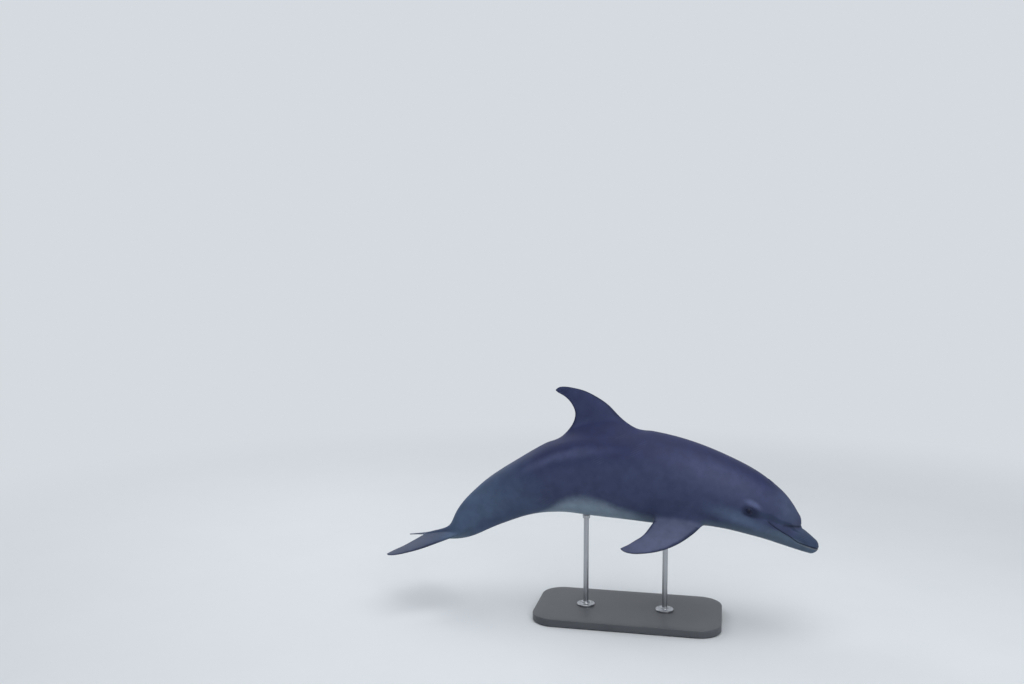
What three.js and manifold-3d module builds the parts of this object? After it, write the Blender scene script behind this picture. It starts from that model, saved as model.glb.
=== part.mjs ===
// Bottlenose dolphin calf, life size, as a still museum-type model on a plain display stand.
// Millimetres, +Z up, +X toward the beak, +Y toward the animal's left.
// The origin is the middle of the stand's underside.
//
// The body is one streamlined form swept along a bent spine. Its back line, belly line,
// half width and roundness are smooth functions of the share s of the spine, from the tip
// of the beak (0) to the end of the tail stock (1). The angle t runs round a section from
// the back (0) over the left flank (90) to the belly (180). Thin cuts divide it into nodes.

import * as THREE from 'three';
import { mergeVertices } from 'three/addons/utils/BufferGeometryUtils.js';
import Module from 'manifold-3d';

const wasm = await Module();
wasm.setup();

// ---------------------------------------------------------------- driving dimensions

const GAP = 0.3;
const BODY_LENGTH = 1300;
const RIDE_HEIGHT = 400;
const MIDDLE_X = -80;
const BEAK_TIP = { x: 633, z: -162 };
const SECTION_POINTS = 36;
const SPINE_STEPS = 1300;

// Steps of angle and share used to feel the slope of the surface, and the welding distance.
const FEEL_ANGLE = 0.5;
const FEEL_SHARE = 0.001;
const WELD = 1e-4;

// Pitch of the spine in degrees, nose-up positive, against the share s.
const PITCH = [
  [0, -28], [0.12, -31], [0.24, -18], [0.38, -7], [0.52, 3],
  [0.66, 18], [0.8, 34], [0.9, 35], [0.95, 6], [1, 0],
];

// Height of the back above the spine, depth of the belly below it, and half width.
const BACK = [
  [0, 15.5], [0.02, 23.5], [0.046, 30], [0.058, 33], [0.07, 54], [0.085, 66],
  [0.115, 85], [0.17, 104], [0.26, 122], [0.38, 142], [0.5, 149], [0.6, 131],
  [0.7, 98], [0.8, 80], [0.88, 58], [0.93, 31], [0.95, 25.5], [1, 15],
];
const BELLY = [
  [0, 15], [0.02, 22.5], [0.06, 36], [0.1, 49.5], [0.16, 71], [0.24, 92],
  [0.34, 122], [0.46, 127], [0.56, 116], [0.63, 97], [0.7, 80], [0.8, 59],
  [0.88, 36.5], [0.93, 13], [0.95, 6.5], [1, 3],
];
const HALF_WIDTH = [
  [0, 15], [0.02, 24], [0.06, 36], [0.1, 54], [0.16, 80], [0.25, 99],
  [0.36, 110], [0.5, 108], [0.62, 88], [0.74, 58], [0.85, 32], [0.92, 20], [1, 10],
];
// Exponent of the section: 2 is an ellipse, more is fuller, less is keeled.
const FULLNESS = [
  [0, 2.3], [0.05, 2.2], [0.12, 2.1], [0.3, 2.1], [0.6, 2], [0.8, 1.7], [0.93, 1.6], [1, 1.8],
];
const NOSE_RADIUS = 14;
const NOSE_START = 0.003;

// The fold between melon and beak sweeps back from the top to the cheeks.
const FOLD_SWEEP = 0.03;
const FOLD_FROM = 0.05;
const FOLD_FULL = 0.07;
const FOLD_LESS = 0.1;
const FOLD_TO = 0.13;
const FOLD_FADE = 0.25;

// Mouth line and fold as heights above the spine against s.
const MOUTH = [
  [-0.02, 5.8], [0, 5.6], [0.008, 4.8], [0.02, 1.8], [0.035, -1.6], [0.052, -4.4],
  [0.077, -1], [0.1, 0.5], [0.127, 4.5], [0.14, 9],
];
const MOUTH_STEPS = { upper: 16, lower: 18 };
const MOUTH_GAP = 0.6;
const MOUTH_CORNER = 0.134;
const JAW_ANGLE_BACK = 0.162;
const FOLD_LINE = [[0.116, 5.5], [0.1, 19], [0.083, 27], [0.0665, 33], [0.0585, 42], [0.056, 60]];
const FOLD_GAP = 0.8;
const FOLD_RISE = 0.3;

// Block that the jaws are cut from: how far it reaches ahead of the beak, above and below.
const JAW_BLOCK = { ahead: -0.02, above: 60, below: -90, width: 400 };

// Where the body is divided, and the cut's width.
const HEAD_END = 0.215;
const CHEST_END = 0.44;
const ABDOMEN_END = 0.655;
const CUT = 0.4;

// Rings of the body: degrees round the nose, then first share, last share and steps.
const NOSE_RINGS = [16, 34, 52, 70, 90];
const BEAK_RINGS = [0.021, 0.05, 3];
const FOLD_RINGS = [0.0565, 0.0955, 7];
const FOREHEAD_RINGS = [0.106, HEAD_END, 8];
const CHEST_RINGS = [HEAD_END + CUT / BODY_LENGTH, CHEST_END, 8];
const ABDOMEN_RINGS = [CHEST_END + CUT / BODY_LENGTH, ABDOMEN_END, 6];
const TAIL_RINGS = [ABDOMEN_END + CUT / BODY_LENGTH, 0.87, 6];
const TAIL_END_RINGS = [0.895, 0.985, 4];

const EYE = { s: 0.1833, angle: 85, radius: 15, sunk: 10, columns: 16, rows: 10 };
const BLOWHOLE = { s: 0.166, width: 30, bow: 9, slot: 3, depth: 9, cut: 30, steps: 8 };

// Fins: both edges as (back, out) pairs in the fin's own plane, and the steps out and across.
const DORSAL = {
  s: 0.5,
  root: 27,
  tip: 3.4,
  steps: 13,
  across: 8,
  lead: [
    [-118, 126], [-80, 146], [-60, 156.5], [-38, 174], [10, 223], [43, 244.5], [76, 260.5],
    [109, 269], [132, 272.5], [148, 272.5], [158.5, 269], [163.5, 264],
  ],
  trail: [
    [168, 105], [119, 150], [105.5, 192], [118, 223], [136, 242], [151, 251], [160.5, 256.5],
    [164.5, 261],
  ],
};
const FLIPPER = {
  s: 0.32,
  side: 80,
  down: 95,
  droop: 36,
  root: 34,
  tip: 4.5,
  steps: 12,
  across: 7,
  lead: [
    [-74, -45], [-58, -5], [-37, 32], [2, 82], [44, 117], [87, 139], [112, 147.5], [130, 149],
    [141, 147], [147.5, 142.5],
  ],
  trail: [[66, -45], [70, -10], [81, 31], [99, 79], [118, 104], [132, 122], [143, 133], [149, 139.5]],
};
const FLUKE = {
  s: 0.95,
  lift: 11,
  pitch: 6,
  droop: 14.6,
  root: 25,
  tip: 3.2,
  steps: 10,
  across: 6,
  lead: [
    [-68, -8], [-45, 22], [-28, 37.5], [-9, 51], [24, 77.5], [50, 96], [83, 112.5],
    [113, 123.5], [133, 126], [143, 124], [148.5, 118.5],
  ],
  trail: [[65, -8], [71, 15], [93, 49.5], [113.5, 76], [130, 92], [142.5, 107], [149, 115.5]],
};
const EDGE = 0.5;
const FIN_TAPER = 1.4;
const TIP_CROWDING = 1.5;
const WING_PEAK = 0.385;

const BASE = {
  length: 560, width: 300, thick: 24, corner: 70, bevel: 3, bevelSteps: 2, cornerSteps: 6,
};
const ROD = { radius: 8, front: 110, back: -130, sides: 20 };
const FLANGE = { radius: 27, lip: 3, foot: 5, neck: 3.5, height: 11 };

// ---------------------------------------------------------------- finishes

const finish = (color, roughness, metalness = 0) => (
  new THREE.MeshStandardMaterial({ color, roughness, metalness })
);
const SKIN = finish(0x565c68, 0.4);
const PALE_SKIN = finish(0x8b8f97, 0.42);
const FIN_SKIN = finish(0x474c57, 0.4);
const EYE_GLOSS = finish(0x15110f, 0.08);
const BOARD = finish(0x3b3d40, 0.55);
const STEEL = finish(0xb4b6b8, 0.3, 1);

// ---------------------------------------------------------------- curves

/** Smooth curve through a table of (x, y) pairs, straight beyond its ends. */
function smooth(table) {
  const xs = table.map((p) => p[0]);
  const ys = table.map((p) => p[1]);
  const last = xs.length - 1;
  const slope = [];
  for (let i = 0; i < last; i += 1) {
    slope.push((ys[i + 1] - ys[i]) / (xs[i + 1] - xs[i]));
  }
  const tangent = xs.map((x, i) => {
    if (i === 0) return slope[0];
    if (i === last) return slope[last - 1];
    const a = x - xs[i - 1];
    const b = xs[i + 1] - x;
    return (slope[i - 1] * b + slope[i] * a) / (a + b);
  });
  return (x) => {
    if (x <= xs[0]) return ys[0] + tangent[0] * (x - xs[0]);
    if (x >= xs[last]) return ys[last] + tangent[last] * (x - xs[last]);
    let k = 0;
    while (x > xs[k + 1]) k += 1;
    const h = xs[k + 1] - xs[k];
    const t = (x - xs[k]) / h;
    const t2 = t * t;
    const t3 = t2 * t;
    return (2 * t3 - 3 * t2 + 1) * ys[k] + (t3 - 2 * t2 + t) * h * tangent[k]
      + (3 * t2 - 2 * t3) * ys[k + 1] + (t3 - t2) * h * tangent[k + 1];
  };
}

/** Smooth edge through points, as a function of the share of its chord length. */
function edge(points) {
  const at = [0];
  for (let i = 1; i < points.length; i += 1) {
    at.push(at[i - 1] + Math.hypot(points[i][0] - points[i - 1][0], points[i][1] - points[i - 1][1]));
  }
  const total = at[at.length - 1];
  const u = smooth(points.map((p, i) => [at[i] / total, p[0]]));
  const v = smooth(points.map((p, i) => [at[i] / total, p[1]]));
  return (t) => [u(t), v(t)];
}

const ramp = (x, a, b) => THREE.MathUtils.smoothstep(x, a, b);
const signedPower = (value, power) => Math.sign(value) * Math.abs(value) ** power;

const pitchAt = smooth(PITCH);
const backAt = smooth(BACK);
const bellyAt = smooth(BELLY);
const widthAt = smooth(HALF_WIDTH);
const fullnessAt = smooth(FULLNESS);
const mouthAt = smooth(MOUTH);

// ---------------------------------------------------------------- the spine

const SPINE = [{ x: BEAK_TIP.x, z: BEAK_TIP.z }];
for (let i = 1; i <= SPINE_STEPS; i += 1) {
  const a = THREE.MathUtils.degToRad(pitchAt((i - 0.5) / SPINE_STEPS));
  const step = BODY_LENGTH / SPINE_STEPS;
  SPINE.push({
    x: SPINE[i - 1].x - Math.cos(a) * step,
    z: SPINE[i - 1].z - Math.sin(a) * step,
  });
}

/** Point, forward direction and upward direction of the spine at s. */
function spine(s) {
  const a = THREE.MathUtils.degToRad(pitchAt(Math.min(Math.max(s, 0), 1)));
  const forward = new THREE.Vector3(Math.cos(a), 0, Math.sin(a));
  const up = new THREE.Vector3(-Math.sin(a), 0, Math.cos(a));
  const place = THREE.MathUtils.clamp(s, 0, 1) * SPINE_STEPS;
  const k = Math.min(Math.floor(place), SPINE_STEPS - 1);
  const f = place - k;
  const point = new THREE.Vector3(
    MIDDLE_X + SPINE[k].x + (SPINE[k + 1].x - SPINE[k].x) * f,
    0,
    RIDE_HEIGHT + SPINE[k].z + (SPINE[k + 1].z - SPINE[k].z) * f,
  );
  const beyond = (s - THREE.MathUtils.clamp(s, 0, 1)) * BODY_LENGTH;
  point.addScaledVector(forward, -beyond);
  return { point, forward, up };
}

/** Point of the body's surface at share s and angle t in degrees, grown by a margin. */
function surface(s, t, grow = 0) {
  const angle = THREE.MathUtils.degToRad(t);
  const side = Math.sin(angle);
  const top = Math.cos(angle);
  const along = (s - NOSE_START) * BODY_LENGTH;
  const round = along < NOSE_RADIUS ? Math.sqrt(Math.max(0, 1 - (1 - along / NOSE_RADIUS) ** 2)) : 1;
  const power = 2 / fullnessAt(s);
  const inFold = ramp(s, FOLD_FROM, FOLD_FULL) * (1 - ramp(s, FOLD_LESS, FOLD_TO));
  const swept = s - FOLD_SWEEP * side * side * inFold * Math.max(top, 0) ** FOLD_FADE;
  const rise = (top >= 0 ? backAt(swept) : bellyAt(s)) * round + grow;
  const half = widthAt(s) * round + grow;
  const { point, up } = spine(s);
  point.addScaledVector(up, rise * signedPower(top, power));
  point.y += half * signedPower(side, power);
  return point;
}

/** Outward direction of the body's surface at share s and angle t. */
function outward(s, t) {
  const round = surface(s, t + FEEL_ANGLE).sub(surface(s, t - FEEL_ANGLE));
  const back = surface(s + FEEL_SHARE, t).sub(surface(s - FEEL_SHARE, t));
  return round.cross(back).normalize();
}

// ---------------------------------------------------------------- solids

/** Closed geometry through rings of equal point count, capped at both ends. */
function loft(rings) {
  const count = rings[0].length;
  const points = rings.flat();
  const faces = [];
  for (let k = 0; k < rings.length - 1; k += 1) {
    for (let j = 0; j < count; j += 1) {
      const next = (j + 1) % count;
      const a = k * count + j;
      const b = k * count + next;
      const c = (k + 1) * count + next;
      const d = (k + 1) * count + j;
      faces.push(a, b, c, a, c, d);
    }
  }
  const first = points.length;
  const lastRing = (rings.length - 1) * count;
  for (const ring of [rings[0], rings[rings.length - 1]]) {
    const middle = new THREE.Vector3();
    ring.forEach((p) => middle.addScaledVector(p, 1 / count));
    points.push(middle);
  }
  for (let j = 0; j < count; j += 1) {
    const next = (j + 1) % count;
    faces.push(first, next, j);
    faces.push(first + 1, lastRing + j, lastRing + next);
  }
  let volume = 0;
  for (let i = 0; i < faces.length; i += 3) {
    const [a, b, c] = [points[faces[i]], points[faces[i + 1]], points[faces[i + 2]]];
    volume += a.dot(b.clone().cross(c)) / 6;
  }
  if (volume < 0) {
    faces.reverse();
  }
  const geometry = new THREE.BufferGeometry();
  geometry.setAttribute('position', new THREE.Float32BufferAttribute(points.flatMap((p) => p.toArray()), 3));
  geometry.setIndex(faces);
  return geometry;
}

/** three.js geometry to a solid that can be cut and joined. */
function solid(geometry) {
  const bare = geometry.clone();
  bare.deleteAttribute('normal');
  bare.deleteAttribute('uv');
  const merged = mergeVertices(bare, WELD);
  return new wasm.Manifold(new wasm.Mesh({
    numProp: 3,
    vertProperties: Float32Array.from(merged.attributes.position.array),
    triVerts: Uint32Array.from(merged.index.array),
  }));
}

/** Solid back to a three.js geometry. */
function geometryOf(body) {
  const mesh = body.getMesh();
  const geometry = new THREE.BufferGeometry();
  geometry.setAttribute('position', new THREE.BufferAttribute(Float32Array.from(mesh.vertProperties), 3));
  geometry.setIndex(new THREE.BufferAttribute(Uint32Array.from(mesh.triVerts), 1));
  return geometry;
}

/** Body between two shares of the spine, with rings at the shares given. */
function bodyBetween(shares, grow = 0) {
  const rings = shares.map((s) => {
    const ring = [];
    for (let j = 0; j < SECTION_POINTS; j += 1) {
      ring.push(surface(s, (j * 360) / SECTION_POINTS, grow));
    }
    return ring;
  });
  return solid(loft(rings));
}

/** Evenly spaced shares from a to b. */
function shares(a, b, steps) {
  return Array.from({ length: steps + 1 }, (_, i) => a + ((b - a) * i) / steps);
}

/** Prism across the body whose outline is a list of (s, height above the spine) pairs. */
function prism(outline) {
  const shape = new THREE.Shape(outline.map(([s, h]) => {
    const { point, up } = spine(s);
    point.addScaledVector(up, h);
    return new THREE.Vector2(point.x, point.z);
  }));
  const geometry = new THREE.ExtrudeGeometry(shape, { depth: JAW_BLOCK.width, bevelEnabled: false });
  geometry.rotateX(Math.PI / 2);
  geometry.translate(0, JAW_BLOCK.width / 2, 0);
  return solid(geometry);
}

/** Thickness share of a fin section at share c of its chord. */
const wing = (c) => (Math.sqrt(c) * (1 - c)) / WING_PEAK;

/** Fin between two edges in a plane, thick at the root and thin at the tip. */
function fin({ lead, trail, root, tip, steps, across }, place, back, out) {
  const front = edge(lead);
  const rear = edge(trail);
  const normal = back.clone().cross(out).normalize();
  const rings = [];
  for (let i = 0; i <= steps; i += 1) {
    const t = 1 - (1 - i / steps) ** TIP_CROWDING;
    const half = (tip + (root - tip) * (1 - t) ** FIN_TAPER) / 2 - EDGE;
    const [u0, v0] = front(t);
    const [u1, v1] = rear(t);
    const upper = [];
    const lower = [];
    for (let j = 0; j <= across; j += 1) {
      const c = (1 - Math.cos((Math.PI * j) / across)) / 2;
      const u = u0 + (u1 - u0) * c;
      const v = v0 + (v1 - v0) * c;
      const h = half * wing(c) + EDGE;
      const middle = place.clone().addScaledVector(back, u).addScaledVector(out, v);
      upper.push(middle.clone().addScaledVector(normal, h));
      lower.push(middle.clone().addScaledVector(normal, -h));
    }
    rings.push([...upper, ...lower.reverse()]);
  }
  return solid(loft(rings));
}

// ---------------------------------------------------------------- the body's nodes

const noseShares = NOSE_RINGS.map((deg) => (
  NOSE_START + (NOSE_RADIUS * (1 - Math.cos(THREE.MathUtils.degToRad(deg)))) / BODY_LENGTH
));
const headShares = [
  ...noseShares, ...shares(...BEAK_RINGS), ...shares(...FOLD_RINGS), ...shares(...FOREHEAD_RINGS),
];
const chestShares = shares(...CHEST_RINGS);
const abdomenShares = shares(...ABDOMEN_RINGS);
const tailShares = [...shares(...TAIL_RINGS), ...shares(...TAIL_END_RINGS)];
const wholeHead = bodyBetween(headShares);
const chest = bodyBetween(chestShares);
const abdomen = bodyBetween(abdomenShares);
const tailStock = bodyBetween(tailShares);
const grownBody = bodyBetween([...headShares, ...chestShares, ...abdomenShares, ...tailShares], GAP);

/** Points along the mouth line, raised by an offset. */
const line = (from, to, steps, offset) => (
  shares(from, to, steps).map((s) => [s, mouthAt(s) + offset])
);

/** Space of the upper jaw, from the mouth line up to the fold, grown by g. */
const upperJawSpace = (g) => prism([
  ...line(JAW_BLOCK.ahead, FOLD_LINE[0][0], MOUTH_STEPS.upper, MOUTH_GAP / 2 - g),
  ...FOLD_LINE.map(([s, h]) => [s + g / BODY_LENGTH, h + g * FOLD_RISE]),
  [JAW_BLOCK.ahead, JAW_BLOCK.above],
]);

/** Space of the lower jaw, from the mouth line down, grown by g. */
const lowerJawSpace = (g) => prism([
  ...line(JAW_BLOCK.ahead, MOUTH_CORNER + g / BODY_LENGTH, MOUTH_STEPS.lower, -MOUTH_GAP / 2 + g),
  [JAW_ANGLE_BACK + g / BODY_LENGTH, JAW_BLOCK.below],
  [JAW_BLOCK.ahead, JAW_BLOCK.below],
]);

const upperJaw = wholeHead.intersect(upperJawSpace(0));
const lowerJaw = wholeHead.intersect(lowerJawSpace(0));

/** Middle of the eyeball on one side, +1 left and -1 right. */
function eyeMiddle(side) {
  const skin = surface(EYE.s, EYE.angle * side);
  return skin.addScaledVector(outward(EYE.s, EYE.angle * side), -EYE.sunk);
}

/** Ball of a radius at a point. */
function ball(radius, middle) {
  const geometry = new THREE.SphereGeometry(radius, EYE.columns, EYE.rows);
  geometry.rotateX(Math.PI / 2);
  geometry.translate(middle.x, middle.y, middle.z);
  return geometry;
}

/** Crescent slot that opens in the top of the head, its horns forward. */
function blowholeCut() {
  const { up, forward } = spine(BLOWHOLE.s);
  const top = surface(BLOWHOLE.s, 0);
  const half = BLOWHOLE.width / 2;
  const shape = new THREE.Shape();
  shape.moveTo(-half, BLOWHOLE.bow);
  shape.quadraticCurveTo(0, -BLOWHOLE.bow - BLOWHOLE.slot, half, BLOWHOLE.bow);
  shape.quadraticCurveTo(0, -BLOWHOLE.bow + BLOWHOLE.slot, -half, BLOWHOLE.bow);
  const geometry = new THREE.ExtrudeGeometry(shape, {
    depth: BLOWHOLE.cut, bevelEnabled: false, curveSegments: BLOWHOLE.steps,
  });
  const left = new THREE.Vector3(0, 1, 0);
  const turn = new THREE.Matrix4().makeBasis(left.clone().negate(), forward, up.clone());
  turn.setPosition(top.clone().addScaledVector(up, -BLOWHOLE.depth));
  geometry.applyMatrix4(turn);
  return solid(geometry);
}

let head = wholeHead.subtract(upperJawSpace(FOLD_GAP)).subtract(lowerJawSpace(MOUTH_GAP));
for (const side of [1, -1]) {
  head = head.subtract(solid(ball(EYE.radius + GAP, eyeMiddle(side))));
}
head = head.subtract(blowholeCut());

// ---------------------------------------------------------------- fins

const withoutBody = (part) => part.subtract(grownBody);

const dorsalPlace = spine(DORSAL.s);
const dorsalFin = withoutBody(fin(
  DORSAL, dorsalPlace.point, dorsalPlace.forward.clone().negate(), dorsalPlace.up,
));

/** Flipper of one side, swept back and drooping from the chest. */
function flipper(side) {
  const { point, forward, up } = spine(FLIPPER.s);
  const droop = THREE.MathUtils.degToRad(FLIPPER.droop);
  const out = new THREE.Vector3(0, side * Math.cos(droop), 0).addScaledVector(up, -Math.sin(droop));
  const place = point.clone().addScaledVector(up, -FLIPPER.down);
  place.y = side * FLIPPER.side;
  return withoutBody(fin(FLIPPER, place, forward.clone().negate(), out));
}

/** Fluke of one side, drooping from the tail stock and the middle plane out to its tip. */
function fluke(side) {
  const { point } = spine(FLUKE.s);
  const pitch = THREE.MathUtils.degToRad(FLUKE.pitch);
  const droop = THREE.MathUtils.degToRad(FLUKE.droop);
  const back = new THREE.Vector3(-Math.cos(pitch), 0, -Math.sin(pitch));
  const out = new THREE.Vector3(0, side * Math.cos(droop), -Math.sin(droop));
  const place = point.clone();
  place.z += FLUKE.lift;
  const whole = fin(FLUKE, place, back, out);
  return withoutBody(whole.trimByPlane([0, side, 0], CUT / 2));
}

// ---------------------------------------------------------------- the stand

/** Plate with round corners and a softened rim, its underside at z = 0. */
function basePlate() {
  const { length, width, thick, corner, bevel, bevelSteps, cornerSteps } = BASE;
  const x = length / 2 - bevel;
  const y = width / 2 - bevel;
  const r = corner - bevel;
  const shape = new THREE.Shape();
  shape.moveTo(-x + r, -y);
  shape.lineTo(x - r, -y);
  shape.absarc(x - r, -y + r, r, -Math.PI / 2, 0, false);
  shape.lineTo(x, y - r);
  shape.absarc(x - r, y - r, r, 0, Math.PI / 2, false);
  shape.lineTo(-x + r, y);
  shape.absarc(-x + r, y - r, r, Math.PI / 2, Math.PI, false);
  shape.lineTo(-x, -y + r);
  shape.absarc(-x + r, -y + r, r, Math.PI, 1.5 * Math.PI, false);
  const geometry = new THREE.ExtrudeGeometry(shape, {
    depth: thick - 2 * bevel,
    bevelThickness: bevel,
    bevelSize: bevel,
    bevelSegments: bevelSteps,
    curveSegments: cornerSteps,
  });
  geometry.translate(0, 0, bevel);
  return geometry;
}

/** Round rod from the base up to the belly. */
function rod(x) {
  const bottom = BASE.thick + GAP;
  const top = RIDE_HEIGHT;
  const geometry = new THREE.CylinderGeometry(ROD.radius, ROD.radius, top - bottom, ROD.sides);
  geometry.rotateX(Math.PI / 2);
  geometry.translate(x, 0, (top + bottom) / 2);
  return geometryOf(withoutBody(solid(geometry)));
}

/** Collar that holds a rod on the base. */
function flange(x) {
  const inner = ROD.radius + GAP;
  const profile = [
    [inner, 0], [FLANGE.radius, 0], [FLANGE.radius, FLANGE.lip],
    [inner + FLANGE.foot, FLANGE.lip], [inner + FLANGE.neck, FLANGE.height],
    [inner, FLANGE.height], [inner, 0],
  ];
  const outline = profile.map(([r, z]) => new THREE.Vector2(r, z));
  const geometry = new THREE.LatheGeometry(outline, ROD.sides);
  geometry.rotateX(Math.PI / 2);
  geometry.translate(x, 0, BASE.thick + GAP);
  return geometry;
}

// ---------------------------------------------------------------- the assembly

/** Named mesh with its finish. */
function piece(name, geometry, material) {
  geometry.computeVertexNormals();
  const mesh = new THREE.Mesh(geometry, material.clone());
  mesh.name = name;
  return mesh;
}

const body = new THREE.Group();
body.add(piece('head', geometryOf(head), SKIN));
body.add(piece('upper_jaw', geometryOf(upperJaw), SKIN));
body.add(piece('lower_jaw', geometryOf(lowerJaw), PALE_SKIN));
body.add(piece('chest', geometryOf(chest), SKIN));
body.add(piece('abdomen', geometryOf(abdomen), SKIN));
body.add(piece('tail_stock', geometryOf(tailStock), SKIN));
body.add(piece('dorsal_fin', geometryOf(dorsalFin), FIN_SKIN));
for (const [word, side] of [['left', 1], ['right', -1]]) {
  const eye = piece(`eye_${word}`, ball(EYE.radius, new THREE.Vector3()), EYE_GLOSS);
  eye.position.copy(eyeMiddle(side));
  body.add(eye);
  body.add(piece(`flipper_${word}`, geometryOf(flipper(side)), FIN_SKIN));
  body.add(piece(`fluke_${word}`, geometryOf(fluke(side)), FIN_SKIN));
}

const stand = new THREE.Group();
stand.add(piece('stand_base', basePlate(), BOARD));
for (const [word, x] of [['front', ROD.front], ['back', ROD.back]]) {
  stand.add(piece(`stand_rod_${word}`, rod(x), STEEL));
  stand.add(piece(`stand_flange_${word}`, flange(x), STEEL));
}

const dolphin = new THREE.Group();
dolphin.name = 'bottlenose_dolphin';
dolphin.add(body, stand);

export default dolphin;
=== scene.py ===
"""Bottlenose dolphin calf, life size, as a still museum-type model on a plain display stand.

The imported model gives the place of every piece. One unbroken skin replaces the nodes of flesh,
the eyes are pieces of their own, and the stand carries the body. Metres, +Z up, +X to the beak.
"""
import logging
import math
from dataclasses import dataclass, field
from enum import Enum
from functools import cache

import bmesh
import bpy
import numpy as np
from mathutils import Matrix, Vector


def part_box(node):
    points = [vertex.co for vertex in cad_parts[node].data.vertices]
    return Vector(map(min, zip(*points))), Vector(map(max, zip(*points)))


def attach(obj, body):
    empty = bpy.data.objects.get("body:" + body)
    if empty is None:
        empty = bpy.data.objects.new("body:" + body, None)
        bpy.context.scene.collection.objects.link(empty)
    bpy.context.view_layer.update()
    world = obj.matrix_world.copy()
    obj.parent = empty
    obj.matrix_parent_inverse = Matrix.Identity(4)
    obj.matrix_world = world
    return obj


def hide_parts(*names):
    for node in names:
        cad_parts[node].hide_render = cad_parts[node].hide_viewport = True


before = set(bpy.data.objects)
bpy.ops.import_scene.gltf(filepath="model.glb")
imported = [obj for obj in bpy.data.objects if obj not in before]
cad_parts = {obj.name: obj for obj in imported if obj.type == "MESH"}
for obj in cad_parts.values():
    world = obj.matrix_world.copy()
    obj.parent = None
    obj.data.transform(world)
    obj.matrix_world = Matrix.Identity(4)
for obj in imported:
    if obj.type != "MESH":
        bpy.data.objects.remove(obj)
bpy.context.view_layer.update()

LOG = logging.getLogger("dolphin")

Pair = tuple[float, float]
Triple = tuple[float, float, float]
Span = tuple[float, float, float, float]
Table = tuple[Pair, ...]
Colour = tuple[float, float, float, float]
Array = np.ndarray
Node = bpy.types.Node
Piece = bpy.types.Object
Socket = bpy.types.NodeSocket
Tree = bpy.types.NodeTree

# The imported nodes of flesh, which the skin replaces.
FLESH = (
    "head", "upper_jaw", "lower_jaw", "chest", "abdomen", "tail_stock", "dorsal_fin",
    "flipper_left", "flipper_right", "fluke_left", "fluke_right",
)
# Values on the skin's points that its finish reads: share along the spine, turn round the body,
# way out along a fin, and nearness to a fin's edges. The lines, a mask of painted shade in the
# creases and a pale lip, are added to the finished mesh.
SKIN_FACTS = ("share", "turn", "fin", "edge")
SKIN_LINES = ("crease_shade", "lip")
# Least divisors, so that nothing is divided by zero.
LEAST_SIZE = 1e-6
LEAST_NORM = 1e-12
# Angle in degrees from which the edges of the stand's pieces are drawn sharp.
SHARP_ANGLE = 35.0


class Side(Enum):
    """Side of the animal, as the sign of y."""

    LEFT = 1
    RIGHT = -1


def rgb(*display: int) -> Colour:
    """Linear colour from red, green and blue display values between 0 and 255."""
    shares = [value / 255 for value in display]
    return (*(v / 12.92 if v <= 0.04045 else ((v + 0.055) / 1.055) ** 2.4 for v in shares), 1.0)


def smoothstep(x: Array, low: float, high: float) -> Array:
    """Smooth ramp from 0 at low to 1 at high."""
    share = np.clip((x - low) / (high - low), 0.0, 1.0)
    return share * share * (3.0 - 2.0 * share)


def bump(x: Array, middle: float, width: float) -> Array:
    """Smooth hill of height 1 round a middle."""
    return np.exp(-(((x - middle) / width) ** 2))


def window(x: Array, span: Span) -> Array:
    """Smooth plateau that rises over the first two values of a span and falls over the last two."""
    return smoothstep(x, span[0], span[1]) * (1 - smoothstep(x, span[2], span[3]))


def unit(vectors: Array) -> Array:
    """Vectors brought to a length of 1."""
    return vectors / np.maximum(np.linalg.norm(vectors, axis=-1, keepdims=True), LEAST_NORM)


def superellipse(wave: Array, power: Array) -> Array:
    """Cosine or sine of a section's angle, bent by the power of the section."""
    return np.sign(wave) * np.abs(wave) ** (2.0 / power)


class Smooth:
    """Smooth curve through a table of (x, y) pairs, straight beyond its ends."""

    def __init__(self, table: Table) -> None:
        """Works out the tangents of the curve.

        Args:
            table: the points, in rising x.
        """
        self.x, self.y = np.array(table, float).T
        step = np.diff(self.x)
        slope = np.diff(self.y) / step
        middle = (slope[:-1] * step[1:] + slope[1:] * step[:-1]) / (step[:-1] + step[1:])
        self.tangent = np.r_[slope[0], middle, slope[-1]]

    def __call__(self, x: Array) -> Array:
        """Value of the curve.

        Args:
            x: where to read it.

        Returns:
            The heights at x.
        """
        x = np.asarray(x, float)
        inside = np.clip(x, self.x[0], self.x[-1])
        k = np.clip(np.searchsorted(self.x, inside) - 1, 0, len(self.x) - 2)
        h = self.x[k + 1] - self.x[k]
        t = (inside - self.x[k]) / h
        value = (
            (2 * t**3 - 3 * t**2 + 1) * self.y[k]
            + (t**3 - 2 * t**2 + t) * h * self.tangent[k]
            + (3 * t**2 - 2 * t**3) * self.y[k + 1]
            + (t**3 - t**2) * h * self.tangent[k + 1]
        )
        below = np.minimum(x - self.x[0], 0.0) * self.tangent[0]
        above = np.maximum(x - self.x[-1], 0.0) * self.tangent[-1]
        return value + below + above


class Edge:
    """Smooth curve in a plane, read by the share of its chord length."""

    def __init__(self, points: Table) -> None:
        """Measures the chords between the points.

        Args:
            points: (back, out) pairs along the edge.
        """
        p = np.array(points, float)
        at = np.r_[0.0, np.cumsum(np.hypot(*np.diff(p, axis=0).T))]
        at /= at[-1]
        self.back = Smooth(tuple(zip(at, p[:, 0])))
        self.out = Smooth(tuple(zip(at, p[:, 1])))

    def __call__(self, share: Array) -> tuple[Array, Array]:
        """The (back, out) places at a share of the edge."""
        return self.back(share), self.out(share)


# ---- meshes in common


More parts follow.
